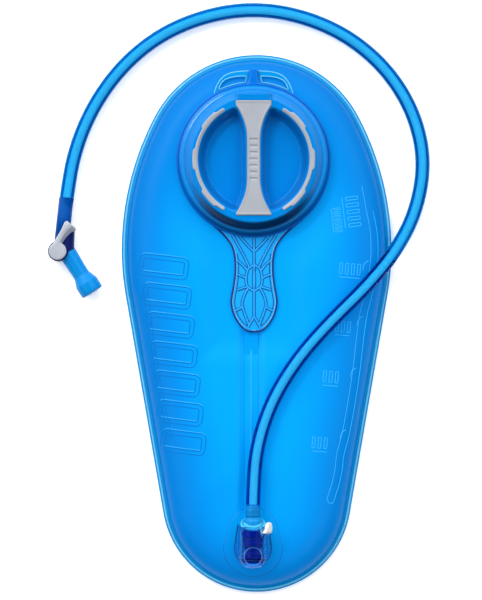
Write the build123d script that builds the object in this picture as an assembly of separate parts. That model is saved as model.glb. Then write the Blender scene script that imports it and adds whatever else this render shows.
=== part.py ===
"""Three-litre hydration bladder lying on its back: film bag, screw cap, quick-release hose, bite valve.

The frame's origin is on the resting plane below the middle of the bag. +Y runs to the filling cap,
+Z is the front of the bag. All sizes are in millimetres.
"""
from build123d import *
from math import acos, atan2, cos, degrees, hypot, pi, radians, sin, tan
import os

# ---- driving dimensions -------------------------------------------------------------------------
CUT = 1.0  # how far a cutting tool runs past the face it cuts
# bag outline: tangent arcs, mirrored about x = 0
TOP_R, TOP_Y = 90.0, 120.0
SHOULDER_X, SHOULDER_Y = -118.0, 57.5
HIP_R = 203.0
FOOT_R, FOOT_Y = 74.0, -136.0
# film and seam
SEAM_W, SEAM_LOW, SEAM_HIGH = 6.0, 4.2, 5.8
FILM_T = 1.0
CROWN_Z = 22.0
FRONT_ROLL, BACK_ROLL = 24.0, 12.0
ROLL_STEPS = 4
BAFFLE_X, BAFFLE_Y0, BAFFLE_Y1, BAFFLE_W, BAFFLE_T = -4.3, -150.0, -6.0, 11.0, 1.0
# filling port, about its own centre
PORT_X, PORT_Y = -2.5, 127.0
MOUTH_R, NECK_R, NECK_TOP = 46.0, 50.0, 34.0
FLANGE_R, FLANGE_TOP = 58.0, 24.0
LUG_R, LUG_Y, LUG_RIM = 44.0, 27.5, 3.7
SLOT_INNER_R, SLOT_WEB = 61.0, 10.0
# screw thread: three starts of short helical ribs
THREAD_LEAD, THREAD_STARTS, RIB_SWEEP, RIB_H, RIB_DROP = 10.0, 3, 60.0, 1.2, 1.5
RIB_Z = 31.0
RIB_STEP, RIB_ROOT = 10.0, 0.8
NECK_RIB_R, CAP_RIB_R = 51.9, 50.6
# cap
CAP_R, CAP_LOW, CAP_TOP = 59.0, 24.6, 41.0
SKIRT_IN_R, SEAT_Z = 52.6, 36.5
WELL_R, WELL_WALL, WELL_FLOOR_LOW, WELL_FLOOR = 43.0, 2.0, 25.0, 27.0
GROOVE_R, GROOVE_TOP, LIP_R, LIP_TOP = 56.0, 28.2, 56.8, 25.4
EDGE_ROUND, EDGE_STEPS = 3.5, 3
GASKET_GAP, GASKET_INSET = 0.1, 0.3
BAR_TOP, BAR_SEAT, BAR_Y0, BAR_Y1 = 42.2, 38.5, -43.0, 45.2
BAR_WAIST, BAR_END = 10.5, 27.6
BAR_STRAIGHT_Y, BAR_FLARE_X, BAR_FLARE_Y, BAR_SHOULDER_Y = 15.0, 8.0, 31.0, 41.5
GRIP_R0, GRIP_R1, GRIP_HALF, LOBE_R, LOBE_AT, LOBE_STEP = 43.6, 46.8, 60.0, 6.0, 42.2, 40.0
POINTER_W, POINTER_L, POINTER_LOW, POINTER_HIGH = 27.6, 5.4, 37.5, 42.0
# tether
RING_R0, RING_R1, RING_LOW, RING_HIGH = 56.3, 59.6, 25.7, 27.9
STRAP_W0, STRAP_W1, STRAP_TOP, STRAP_LAP = 8.8, 5.2, 27.2, 2.0
CLIP_Y0, CLIP_Y1, CLIP_HOOK = 66.5, 71.6, 2.0
# filling handle below the cap
HANDLE_TOP, HANDLE_RIB_TOP, HANDLE_RIM = 24.0, 26.2, 2.2
HANDLE_HALF = ((-48.5, 31.5), (-60.0, 19.5), (-75.0, 15.6), (-95.0, 15.6), (-108.0, 18.4), (-122.0, 15.5))
HANDLE_TIP = -133.0
HEX_Y, HEX_R = -87.0, 8.5
HANDLE_CAP_GAP = 1.5
# exit port
EXIT_X, AXIS_Z = -3.0, 34.0
PAD_BIG_R, PAD_BIG_Y, PAD_SMALL_R, PAD_SMALL_Y, PAD_TOP = 23.0, -173.3, 19.5, -161.8, 23.0
PLINTH_R, PLINTH_Y, PLINTH_MOUTH_W, PLINTH_MOUTH_L, PLINTH_TOP = 14.3, -174.5, 25.0, 2.0, 30.0
BARREL_R, MOUTH_Y, BARREL_END = 12.5, -154.8, -188.8
BORE_R, BORE_END = 9.7, -177.0
COUNTER_R, COUNTER_END = 10.4, -161.0
LIP_HOLE_R, CHAMBER_Y0, CHAMBER_Y1, CHAMBER_R = 7.0, -178.6, -186.4, 8.9
OUTLET_R, OUTLET_Y = 5.0, -183.0
# release button, tilted round the hose axis
BUTTON_TILT = 35.0
BUTTON_IN, BUTTON_OUT, BUTTON_W, BUTTON_Y0, BUTTON_Y1 = 11.6, 16.0, 8.0, -160.3, -151.7
BUTTON_GAP, BUTTON_CHAMFER = 0.3, 1.0
BOSS_IN, BOSS_OUT, BOSS_W, BOSS_Y0 = 9.5, 14.0, 12.6, -162.5
POCKET_IN, POCKET_OUT = 9.4, 23.0
LEAF_Y0, LEAF_Y1, LEAF_T, LEAF_GAP = -159.9, -157.0, 0.5, 0.25
# hose plug
PLUG_R, PLUG_Y0, PLUG_Y1, PLUG_BORE_R = 9.5, -172.0, -158.3, 2.5
NOSE_R, NOSE_Y0, NOSE_Y1, NOSE_ROUND = 6.8, -178.5, -174.0, 1.5
HUB_R = 6.0
O_RING_Y, O_RING_MINOR, O_RING_OUT = (-170.0, -164.0), 0.8, 9.62
COLLAR_STEPS = ((10.0, -158.3, -155.5), (8.6, -155.5, -152.5), (7.2, -152.5, -149.7))
# check poppet
POPPET_R, POPPET_Y0, POPPET_Y1 = 8.3, -182.5, -181.3
SEAL_R0, SEAL_R1, SEAL_Y1 = 7.15, 8.2, -180.7
HUB_Y1 = -180.9
PIN_R, PIN_AT, PIN_TIP, PINS = 0.8, 4.6, -178.6, 3
SPRING_R0, SPRING_R1, SPRING_WIRE, SPRING_TURNS, SPRING_STEP = 4.6, 5.6, 0.8, 3, 30.0
# hose
HOSE_R, HOSE_BORE_R = 5.6, 3.75
BARB_LEN, BARBS, BARB_DIP = 12.0, 4, 0.6
HOSE_ROUTE = (
    (-3.0, -149.7, 34.0), (-3.0, -131.0, 34.0), (-0.5, -95.0, 31.8), (11.2, -59.4, 30.1),
    (31.6, -26.4, 30.3), (57.1, 2.1, 29.9), (85.0, 29.2, 30.7), (108.7, 57.2, 19.1),
    (125.5, 89.5, 6.0), (131.6, 128.3, 5.7), (122.6, 166.1, 5.6), (102.0, 198.9, 5.6),
    (72.6, 224.3, 5.6), (37.4, 240.2, 5.6), (-0.9, 246.5, 5.6), (-39.1, 241.2, 5.6),
    (-75.1, 226.2, 5.6), (-104.9, 202.0, 5.6), (-127.8, 170.5, 5.6), (-142.6, 135.0, 5.6),
    (-148.8, 96.8, 7.4), (-150.6, 78.0, 9.0))
ARC_SHARE = 0.45
# bite valve
VALVE_Z = 9.0
PIVOT_X, PIVOT_Y = -154.5, 56.2
CORNER_X, CORNER_Y = -151.6, 61.0
BITE_END_X, BITE_END_Y, BITE_LEN = -128.0, 24.2, 35.0
BODY_R, BODY_LOW, BODY_HIGH = 7.8, 1.0, 17.0
STEM_R, STEM_SHORT, SPIGOT_R, SPIGOT_LEN = 7.2, 1.5, 5.0, 9.0
CHANNEL_R, SCOOP_R, ROTOR_R, ROTOR_BORE_R, ROTOR_LOW = 2.5, 2.6, 6.0, 6.06, 1.4
ROTOR_SEAL_Z, ROTOR_SEAL_MINOR = (3.6, 14.6), 0.6
LEVER_LOW, LEVER_HIGH, LEVER_R, LEVER_W = 17.4, 20.2, 6.85, 6.0
LEVER_TIP_X, LEVER_TIP_Y, LEVER_TIP_R = -141.3, 78.0, 3.8
BITE_R0, BITE_R1, BITE_R2, BITE_R3, BITE_WALL = 6.6, 5.9, 8.5, 8.3, 1.6
BITE_NECK, BITE_CONE, SLIT_W = 20.0, 26.0, 0.5

# ---- values that follow -------------------------------------------------------------------------
shoulder_r = TOP_R + hypot(SHOULDER_X, TOP_Y - SHOULDER_Y)
half_width = SHOULDER_X + shoulder_r
hip_x = half_width - HIP_R
shoulder_join = degrees(atan2(TOP_Y - SHOULDER_Y, -SHOULDER_X))
hip_reach = hypot(hip_x, SHOULDER_Y - FOOT_Y)
side_lean = degrees(atan2(SHOULDER_Y - FOOT_Y, hip_x) - acos((FOOT_R - HIP_R) / hip_reach))
port = Pos(PORT_X, PORT_Y, 0)


def disc(radius, low, high):
    """A round plug about the Z axis."""
    return Pos(0, 0, (low + high) / 2) * Cylinder(radius, high - low)


def ring(inner, outer, low, high):
    """A round band about the Z axis."""
    return disc(outer, low, high) - disc(inner, low - CUT, high + CUT)


def block(x0, x1, y0, y1, z0, z1):
    """A box between two corners."""
    return Pos((x0 + x1) / 2, (y0 + y1) / 2, (z0 + z1) / 2) * Box(x1 - x0, y1 - y0, z1 - z0)


def turned(points, axis=Axis.Z):
    """A solid of revolution from (radius, height) corners."""
    profile = make_face(Polyline(*[(r, 0, h) for r, h in points], close=True))
    return revolve(profile, axis)


def along_hose(shape):
    """Lays a shape made about Z, height for height, onto the hose's axis at the exit."""
    return Location((EXIT_X, 0, AXIS_Z), (-90, 0, 0)) * shape


def only(shape):
    """The shape as one plain solid."""
    solids = shape.solids()
    assert len(solids) == 1, len(solids)
    return solids[0]


def chain_loft(wires):
    """A solid through closed wires, in straight spans."""
    return Solid.make_loft(wires, ruled=True)


def helical_bar(inner, outer, height, z_mid, start, sweep, lead, step):
    """A rectangular bar that climbs round the Z axis, built from short straight spans."""
    wires = []
    spans = round(sweep / step)
    for k in range(spans + 1):
        turn = sweep * k / spans
        z = z_mid + lead * turn / 360
        c, s = cos(radians(start + turn)), sin(radians(start + turn))
        corners = ((inner, -1), (outer, -1), (outer, 1), (inner, 1))
        wires.append(Wire.make_polygon([Vector(r * c, r * s, z + side * height / 2) for r, side in corners]))
    return chain_loft(wires)


# ---- bag ----------------------------------------------------------------------------------------
def bag_wire(inset, z):
    """The bag's outline, moved inwards by inset, at height z."""
    shoulder = CenterArc((SHOULDER_X, SHOULDER_Y, z), shoulder_r - inset, 0, shoulder_join)
    hip = CenterArc((hip_x, SHOULDER_Y, z), HIP_R - inset, side_lean, -side_lean)
    foot = CenterArc((0, FOOT_Y, z), FOOT_R - inset, 180 - side_lean, 180 + 2 * side_lean)
    top = CenterArc((0, TOP_Y, z), TOP_R - inset, shoulder_join, 180 - 2 * shoulder_join)
    side = Line(foot @ 1, hip @ 0)
    right = [side, hip, shoulder]
    left = [mirror(edge, Plane.YZ) for edge in right]
    edges = []
    for curve in right + left + [foot, top]:
        edges += curve.edges()
    return Wire(edges)


def pillow(rim_z, crown_z, roll, skin):
    """Half of the bag's volume: an elliptical roll from the seam to a flat crown."""
    rise = crown_z - rim_z
    rise -= skin if rise > 0 else -skin
    wires = []
    for k in range(ROLL_STEPS + 1):
        t = radians(90 * k / ROLL_STEPS)
        wires.append(bag_wire(SEAM_W - 1 + roll - (roll - skin) * cos(t), rim_z + rise * sin(t)))
    return chain_loft(wires)


def film_front():
    shell = pillow(SEAM_HIGH, CROWN_Z, FRONT_ROLL, 0) - pillow(SEAM_HIGH, CROWN_Z, FRONT_ROLL, FILM_T)
    mouth = port * disc(MOUTH_R, 0, 2 * CROWN_Z)
    outlet = Pos(EXIT_X, OUTLET_Y) * disc(OUTLET_R, 0, 2 * CROWN_Z)
    return only(shell - mouth - outlet)


def film_back():
    return only(pillow(SEAM_LOW, 0, BACK_ROLL, 0) - pillow(SEAM_LOW, 0, BACK_ROLL, FILM_T))


def perimeter_seam():
    seam = extrude(Face(bag_wire(0, SEAM_LOW)), SEAM_HIGH - SEAM_LOW)
    return only(seam - extrude(Face(bag_wire(SEAM_W, SEAM_LOW)), SEAM_HIGH - SEAM_LOW))


def baffle():
    """An internal web welded to both films along two flat strips."""
    low, high = FILM_T, CROWN_Z - FILM_T
    left, right = BAFFLE_X - BAFFLE_W / 2, BAFFLE_X + BAFFLE_W / 2
    web = block(BAFFLE_X - BAFFLE_T / 2, BAFFLE_X + BAFFLE_T / 2, BAFFLE_Y0, BAFFLE_Y1, low, high)
    under = block(left, right, BAFFLE_Y0, BAFFLE_Y1, low, low + BAFFLE_T)
    over = block(left, right, BAFFLE_Y0, BAFFLE_Y1, high - BAFFLE_T, high)
    return only(web + under + over)


# ---- filling port -------------------------------------------------------------------------------
def lug_plan(shrink):
    return Pos(0, LUG_Y) * Circle(LUG_R - shrink)


def hanger_slots():
    """Two lens-shaped slots between the cap's edge and the lug's rim."""
    lens = lug_plan(LUG_RIM) - Circle(SLOT_INNER_R) - Rectangle(SLOT_WEB, 4 * LUG_R + 4 * LUG_Y)
    below = Pos(0, -LUG_Y) * Rectangle(4 * LUG_R, 4 * LUG_Y)
    return lens - below


def collar_flange():
    """Welded flange with the hanger lug."""
    plan = Circle(FLANGE_R) + lug_plan(0) - hanger_slots() - Circle(NECK_R)
    return only(port * Pos(0, 0, CROWN_Z) * extrude(plan, FLANGE_TOP - CROWN_Z))


def collar_neck():
    """Threaded neck that stands in the flange."""
    neck = ring(MOUTH_R, NECK_R, CROWN_Z, NECK_TOP)
    for k in range(THREAD_STARTS):
        start = k * 360 / THREAD_STARTS
        neck += helical_bar(NECK_R - RIB_ROOT, NECK_RIB_R, RIB_H, RIB_Z, start, RIB_SWEEP, THREAD_LEAD,
                            RIB_STEP)
    return only(port * neck)


def handle_plan(shrink):
    """Outline of the filling handle, symmetric about its own centre line."""
    right = [(half - shrink, y) for y, half in HANDLE_HALF]
    left = [(-x, y) for x, y in reversed(right)]
    tip = (0, HANDLE_TIP + shrink)
    sides = Spline(*right) + Spline(*left)
    close = Line(left[-1], right[0])
    nose = ThreePointArc(right[-1], tip, left[0])
    return make_face([*sides.edges(), *close.edges(), *nose.edges()])


def handle_plate():
    plate = Pos(0, 0, CROWN_Z) * extrude(handle_plan(0), HANDLE_TOP - CROWN_Z)
    return only(port * (plate - disc(FLANGE_R, 0, 2 * CROWN_Z)))


def handle_ribs():
    """Raised rim, spine and hexagon on the handle."""
    height = HANDLE_RIB_TOP - HANDLE_TOP
    web = handle_plan(0) - handle_plan(HANDLE_RIM)
    root = HANDLE_HALF[0][0]
    spine = Pos(0, (HANDLE_TIP + root) / 2) * Rectangle(HANDLE_RIM, root - HANDLE_TIP)
    hexagon = Pos(0, HEX_Y) * RegularPolygon(HEX_R, 6)
    hollow = Pos(0, HEX_Y) * RegularPolygon(HEX_R - HANDLE_RIM, 6)
    web = web + (handle_plan(0) & spine) + hexagon - hollow
    ribs = Pos(0, 0, HANDLE_TOP) * extrude(web, height)
    return only(port * (ribs - disc(CAP_R + HANDLE_CAP_GAP, 0, 2 * CROWN_Z)))


# ---- cap ----------------------------------------------------------------------------------------
def bar_plan():
    """Hourglass plan of the grip bar."""
    waist, end = BAR_WAIST / 2, BAR_END / 2
    side = Line((waist, 0), (waist, BAR_STRAIGHT_Y))
    flare = ThreePointArc(side @ 1, (BAR_FLARE_X, BAR_FLARE_Y), (end, BAR_SHOULDER_Y))
    rest = Polyline(flare @ 1, (end, BAR_Y1), (0, BAR_Y1), (0, 0), side @ 0)
    quarter = make_face([*side.edges(), *flare.edges(), *rest.edges()])
    half = quarter + mirror(quarter, Plane.YZ)
    short = Pos(0, (BAR_Y0 + BAR_Y1) / 2) * Rectangle(BAR_END, BAR_Y1 - BAR_Y0)
    return (half + mirror(half, Plane.XZ)) & short


def cap_grip_bar():
    bar = Pos(0, 0, WELL_FLOOR) * extrude(bar_plan(), BAR_TOP - WELL_FLOOR)
    keep = disc(WELL_R, WELL_FLOOR, BAR_SEAT) + disc(CAP_R, BAR_SEAT, BAR_TOP)
    return only(port * (bar & keep))


def grip_arc(side):
    """One scalloped grip on the cap's crown; side is +1 right or -1 left."""
    band = Circle(GRIP_R1)
    for k in (-1, 0, 1):
        turn = radians(k * LOBE_STEP)
        band += Pos(LOBE_AT * cos(turn), LOBE_AT * sin(turn)) * Circle(LOBE_R)
    reach = 2 * GRIP_R1
    x, y = reach * cos(radians(GRIP_HALF)), reach * sin(radians(GRIP_HALF))
    wedge = make_face(Polyline((0, 0), (x, -y), (reach, -y), (reach, y), (x, y), close=True))
    plan = (band & wedge) - Circle(GRIP_R0)
    grip = Pos(0, 0, BAR_SEAT) * extrude(plan, BAR_TOP - BAR_SEAT)
    return only(port * Rot(0, 0, 0 if side > 0 else 180) * grip)


def cap_body():
    round_z, round_r = CAP_TOP - EDGE_ROUND, CAP_R - EDGE_ROUND
    rim = []
    for k in range(EDGE_STEPS + 1):
        turn = radians(90 * k / EDGE_STEPS)
        rim.append((round_r + EDGE_ROUND * cos(turn), round_z + EDGE_ROUND * sin(turn)))
    outer_well = WELL_R + WELL_WALL
    profile = [(0, WELL_FLOOR_LOW), (outer_well, WELL_FLOOR_LOW), (outer_well, SEAT_Z), (SKIRT_IN_R, SEAT_Z),
               (SKIRT_IN_R, CAP_LOW), (LIP_R, CAP_LOW), (LIP_R, LIP_TOP), (GROOVE_R, LIP_TOP),
               (GROOVE_R, GROOVE_TOP), (CAP_R, GROOVE_TOP), *rim, (WELL_R, CAP_TOP), (WELL_R, WELL_FLOOR),
               (0, WELL_FLOOR)]
    body = turned(profile)
    for k in range(THREAD_STARTS):
        start = k * 360 / THREAD_STARTS
        body += helical_bar(CAP_RIB_R, SKIRT_IN_R + RIB_ROOT, RIB_H, RIB_Z - RIB_DROP, start, RIB_SWEEP,
                            THREAD_LEAD, RIB_STEP)
    body += block(-POINTER_W / 2, POINTER_W / 2, BAR_Y1, BAR_Y1 + POINTER_L, POINTER_LOW, POINTER_HIGH)
    return only(port * body - cap_grip_bar() - grip_arc(1) - grip_arc(-1))


def cap_gasket():
    return only(port * ring(MOUTH_R + GASKET_INSET, NECK_R - GASKET_INSET, NECK_TOP + GASKET_GAP, SEAT_Z))


def tether_ring():
    return only(port * ring(RING_R0, RING_R1, RING_LOW, RING_HIGH))


def tether_strap():
    near, far = RING_R1 - STRAP_LAP, CLIP_Y0
    plan = make_face(Polyline((-STRAP_W0 / 2, near), (STRAP_W0 / 2, near), (STRAP_W1 / 2, far),
                              (-STRAP_W1 / 2, far), close=True))
    strap = Pos(0, 0, RING_LOW) * extrude(plan, STRAP_TOP - RING_LOW)
    return only(port * (strap - disc(RING_R1, 0, 2 * RING_HIGH)))


def tether_clip():
    """Fixed end of the tether, hooked over the lug between the slots."""
    half = STRAP_W1 / 2
    top = block(-half, half, CLIP_Y0, CLIP_Y1 + CLIP_HOOK, FLANGE_TOP, STRAP_TOP)
    hook = block(-half, half, CLIP_Y1, CLIP_Y1 + CLIP_HOOK, CROWN_Z, FLANGE_TOP)
    return only(port * (top + hook))


# ---- exit port ----------------------------------------------------------------------------------
def exit_pad():
    """Welded pear-shaped pad."""
    plan = make_hull([*(Pos(0, PAD_BIG_Y) * Circle(PAD_BIG_R)).edges(),
                      *(Pos(0, PAD_SMALL_Y) * Circle(PAD_SMALL_R)).edges()])
    pad = Pos(EXIT_X, 0, CROWN_Z) * extrude(plan, PAD_TOP - CROWN_Z)
    return only(pad - Pos(EXIT_X, OUTLET_Y) * disc(OUTLET_R, 0, 2 * CROWN_Z))


def button_frame():
    """Local X points out along the button's travel, Y along the hose."""
    return Location((EXIT_X, 0, AXIS_Z), (0, -BUTTON_TILT, 0))


def exit_socket():
    """Clear socket: plinth, barrel and the button's boss, bored for the plug and the poppet."""
    plan = make_hull([*(Pos(0, PLINTH_Y) * Circle(PLINTH_R)).edges(),
                      *(Pos(0, MOUTH_Y) * Rectangle(PLINTH_MOUTH_W, PLINTH_MOUTH_L)).edges()])
    body = Pos(EXIT_X, 0, PAD_TOP) * extrude(plan, PLINTH_TOP - PAD_TOP)
    under = block(EXIT_X - BARREL_R, EXIT_X + BARREL_R, BARREL_END - CUT, MOUTH_Y + CUT, 0, PAD_TOP)
    body += along_hose(disc(BARREL_R, BARREL_END, MOUTH_Y)) - under
    body += button_frame() * block(BOSS_IN, BOSS_OUT, BOSS_Y0, MOUTH_Y, -BOSS_W / 2, BOSS_W / 2)
    bores = along_hose(disc(BORE_R, BORE_END, 0)) + along_hose(disc(COUNTER_R, COUNTER_END, 0))
    bores += along_hose(disc(LIP_HOLE_R, CHAMBER_Y0, 0)) + along_hose(disc(CHAMBER_R, CHAMBER_Y1, CHAMBER_Y0))
    bores += Pos(EXIT_X, OUTLET_Y) * disc(OUTLET_R, 0, AXIS_Z)
    side = BUTTON_W / 2 + BUTTON_GAP
    pocket = button_frame() * block(POCKET_IN, POCKET_OUT, BUTTON_Y0 - BUTTON_GAP, 0, -side, side)
    return only(body - bores - pocket)


def release_button():
    button = block(BUTTON_IN, BUTTON_OUT, BUTTON_Y0, BUTTON_Y1, -BUTTON_W / 2, BUTTON_W / 2)
    button = chamfer(button.edges().group_by(Axis.X)[-1], BUTTON_CHAMFER)
    return only(button_frame() * button)


def button_spring():
    """A leaf under the button, clear of the plug."""
    low = COUNTER_R + LEAF_GAP
    leaf = block(low, low + LEAF_T, LEAF_Y0, LEAF_Y1, -BUTTON_W / 2, BUTTON_W / 2)
    return only(button_frame() * leaf)


def poppet():
    body = along_hose(disc(POPPET_R, POPPET_Y0, POPPET_Y1)) + along_hose(disc(SEAL_R0, POPPET_Y1, HUB_Y1))
    for k in range(PINS):
        pin = Rot(0, 0, k * 360 / PINS) * Pos(PIN_AT, 0) * disc(PIN_R, POPPET_Y1, PIN_TIP)
        body += along_hose(pin)
    return only(body)


def poppet_seal():
    return only(along_hose(ring(SEAL_R0, SEAL_R1, POPPET_Y1, SEAL_Y1)))


def poppet_spring():
    lead = (POPPET_Y0 - CHAMBER_Y1 - SPRING_WIRE) / SPRING_TURNS
    first = CHAMBER_Y1 + SPRING_WIRE / 2
    coil = helical_bar(SPRING_R0, SPRING_R1, SPRING_WIRE, first, 0, 360 * SPRING_TURNS, lead, SPRING_STEP)
    return only(along_hose(coil))


# ---- hose plug ----------------------------------------------------------------------------------
def barb_profile(root):
    """Saw-tooth corners of a hose barb that starts at height root and ends BARB_LEN above it."""
    tooth = BARB_LEN / BARBS
    corners = []
    for k in range(BARBS):
        corners.append((HOSE_BORE_R, root + k * tooth))
        corners.append((HOSE_BORE_R - BARB_DIP, root + (k + 1) * tooth))
    return corners


def o_ring(height, outer, minor):
    return Pos(0, 0, height) * Torus(outer - minor, minor)


def plug_body():
    start = HOSE_ROUTE[0][1]
    corners = [(PLUG_BORE_R, NOSE_Y0), (NOSE_R - NOSE_ROUND, NOSE_Y0), (NOSE_R, NOSE_Y0 + NOSE_ROUND),
               (NOSE_R, NOSE_Y1), (PLUG_R, PLUG_Y0), (PLUG_R, PLUG_Y1), (HUB_R, PLUG_Y1), (HUB_R, start),
               *barb_profile(start), (PLUG_BORE_R, start + BARB_LEN)]
    body = turned(corners)
    for y in O_RING_Y:
        depth = O_RING_OUT - 2 * O_RING_MINOR
        body -= ring(depth, PLUG_R + CUT, y - O_RING_MINOR, y + O_RING_MINOR)
    return only(along_hose(body))


def plug_o_ring(k):
    return only(along_hose(o_ring(O_RING_Y[k], O_RING_OUT, O_RING_MINOR)))


def plug_collar():
    body = ring(HUB_R, COLLAR_STEPS[0][0], COLLAR_STEPS[0][1], COLLAR_STEPS[0][2])
    for radius, low, high in COLLAR_STEPS[1:]:
        body += ring(HUB_R, radius, low, high)
    return only(along_hose(body))


# ---- hose ---------------------------------------------------------------------------------------
def hose_path():
    """Straight runs joined by tangent arcs, each as large as its two runs allow."""
    points = [Vector(*p) for p in HOSE_ROUTE]
    runs = [b - a for a, b in zip(points, points[1:])]
    radii = []
    for before, after in zip(runs, runs[1:]):
        turn = before.get_angle(after)
        radii.append(ARC_SHARE * min(before.length, after.length) / tan(radians(turn / 2)))
    return FilletPolyline(*points, radius=radii), radii


def drink_tube():
    path, radii = hose_path()
    print("hose radii", [round(r) for r in radii])
    start = Plane(origin=path @ 0, z_dir=path % 0)
    outer = sweep(start * Circle(HOSE_R), path)
    inner = sweep(start * Circle(HOSE_BORE_R), path)
    tube = only(outer - inner)
    section = pi * (HOSE_R ** 2 - HOSE_BORE_R ** 2)
    print("hose length", round(path.length, 1), "volume", round(tube.volume), "section x length",
          round(section * path.length))
    return tube


# ---- bite valve ---------------------------------------------------------------------------------
def hose_end():
    """Frame at the far end of the hose, with Z pointing back into it."""
    last, before = Vector(*HOSE_ROUTE[-1]), Vector(*HOSE_ROUTE[-2])
    return Plane(origin=last, z_dir=before - last)


def bite_frame():
    """Frame of the bite valve: Z runs from the elbow's corner to the mouth end."""
    corner = Vector(CORNER_X, CORNER_Y, VALVE_Z)
    tip = Vector(BITE_END_X, BITE_END_Y, VALVE_Z)
    return Plane(origin=corner, z_dir=tip - corner), (tip - corner).length


def elbow_stem(radius):
    """A round bar from just short of the hose's end to the elbow's corner, with a ball at the corner."""
    end, corner = Vector(*HOSE_ROUTE[-1]), Vector(CORNER_X, CORNER_Y, VALVE_Z)
    length = (end - corner).length - STEM_SHORT
    bar = Plane(origin=corner, z_dir=end - corner) * disc(radius, 0, length)
    return bar + Pos(CORNER_X, CORNER_Y, VALVE_Z) * Sphere(radius)


def valve_elbow():
    frame, reach = bite_frame()
    bite_start = reach - BITE_LEN
    body = elbow_stem(STEM_R) + Pos(PIVOT_X, PIVOT_Y) * disc(BODY_R, BODY_LOW, BODY_HIGH)
    body += frame * disc(BITE_R0, 0, bite_start) + frame * disc(SPIGOT_R, 0, bite_start + SPIGOT_LEN)
    body += hose_end() * disc(STEM_R, -2 * STEM_SHORT, 0)
    body += hose_end() * turned([(0, 0), *barb_profile(0), (0, BARB_LEN)])
    body -= elbow_stem(CHANNEL_R) + hose_end() * disc(CHANNEL_R, -2 * STEM_SHORT, BARB_LEN + CUT)
    body -= frame * disc(CHANNEL_R, 0, bite_start + SPIGOT_LEN + CUT)
    return only(body - Pos(PIVOT_X, PIVOT_Y) * disc(ROTOR_BORE_R, 0, BODY_HIGH + CUT))


def bite_valve():
    """Soft mouthpiece: a thin neck that flares to a slit end."""
    frame, reach = bite_frame()
    start = reach - BITE_LEN
    neck, cone, end = start + BITE_NECK, start + BITE_CONE, reach
    corners = [(SPIGOT_R, start), (BITE_R0, start), (BITE_R1, neck), (BITE_R2, cone), (BITE_R3, end),
               (0, end), (0, end - BITE_WALL), (BITE_R3 - BITE_WALL, end - BITE_WALL),
               (BITE_R2 - BITE_WALL, cone),
               (BITE_R1 - BITE_WALL, neck), (SPIGOT_R, start + SPIGOT_LEN)]
    body = frame * turned(corners)
    slit = frame * block(-SLIT_W / 2, SLIT_W / 2, -BITE_R1, BITE_R1, end - 2 * BITE_WALL, end + CUT)
    return only(body - slit - Pos(PIVOT_X, PIVOT_Y) * disc(BODY_R, 0, BODY_HIGH + CUT))


def valve_rotor():
    """Spool with a scooped side: open towards the elbow's corner, closed when turned away."""
    spool = Pos(PIVOT_X, PIVOT_Y) * disc(ROTOR_R, ROTOR_LOW, LEVER_LOW)
    scoop = elbow_stem(SCOOP_R)
    frame, reach = bite_frame()
    scoop += frame * disc(SCOOP_R, 0, reach - BITE_LEN)
    for z in ROTOR_SEAL_Z:
        low, high = z - ROTOR_SEAL_MINOR, z + ROTOR_SEAL_MINOR
        spool -= Pos(PIVOT_X, PIVOT_Y) * ring(ROTOR_R - 2 * ROTOR_SEAL_MINOR, ROTOR_R + CUT, low, high)
    return only(spool - scoop)


def rotor_seal(k):
    return only(Pos(PIVOT_X, PIVOT_Y) * o_ring(ROTOR_SEAL_Z[k], ROTOR_R, ROTOR_SEAL_MINOR))


def valve_lever():
    """Shut-off lever: a round cap on the spool and a thumb arm along the hose."""
    heading = degrees(atan2(LEVER_TIP_Y - PIVOT_Y, LEVER_TIP_X - PIVOT_X))
    reach = hypot(LEVER_TIP_X - PIVOT_X, LEVER_TIP_Y - PIVOT_Y)
    plan = Circle(LEVER_R) + Pos(reach / 2, 0) * Rectangle(reach, LEVER_W)
    plan += Pos(reach - LEVER_TIP_R, 0) * Circle(LEVER_TIP_R)
    lever = extrude(plan, LEVER_HIGH - LEVER_LOW)
    return only(Location((PIVOT_X, PIVOT_Y, LEVER_LOW), (0, 0, heading)) * lever)


NODES = {
    "film_front": film_front,
    "film_back": film_back,
    "perimeter_seam": perimeter_seam,
    "baffle": baffle,
    "collar_flange": collar_flange,
    "collar_neck": collar_neck,
    "handle_plate": handle_plate,
    "handle_ribs": handle_ribs,
    "tether_clip": tether_clip,
    "tether_strap": tether_strap,
    "tether_ring": tether_ring,
    "cap_body": cap_body,
    "cap_grip_bar": cap_grip_bar,
    "cap_grip_left": lambda: grip_arc(-1),
    "cap_grip_right": lambda: grip_arc(1),
    "cap_gasket": cap_gasket,
    "exit_pad": exit_pad,
    "exit_socket": exit_socket,
    "release_button": release_button,
    "button_spring": button_spring,
    "poppet": poppet,
    "poppet_seal": poppet_seal,
    "poppet_spring": poppet_spring,
    "plug_body": plug_body,
    "plug_o_ring_inner": lambda: plug_o_ring(0),
    "plug_o_ring_outer": lambda: plug_o_ring(1),
    "plug_collar": plug_collar,
    "drink_tube": drink_tube,
    "valve_elbow": valve_elbow,
    "bite_valve": bite_valve,
    "valve_rotor": valve_rotor,
    "rotor_seal_lower": lambda: rotor_seal(0),
    "rotor_seal_upper": lambda: rotor_seal(1),
    "valve_lever": valve_lever,
}

os.makedirs("parts", exist_ok=True)
for name, make in NODES.items():
    export_step(make(), f"parts/{name}.step")
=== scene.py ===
"""Hydration bladder: film bag, screw cap, filling handle, quick-release hose and bite valve."""

from math import acos, atan2, cos, degrees, exp, hypot, pi, radians, sin, sqrt

import bmesh
import bpy
from mathutils import Matrix, Vector, noise
from mathutils.bvhtree import BVHTree
from mathutils.geometry import delaunay_2d_cdt


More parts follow.
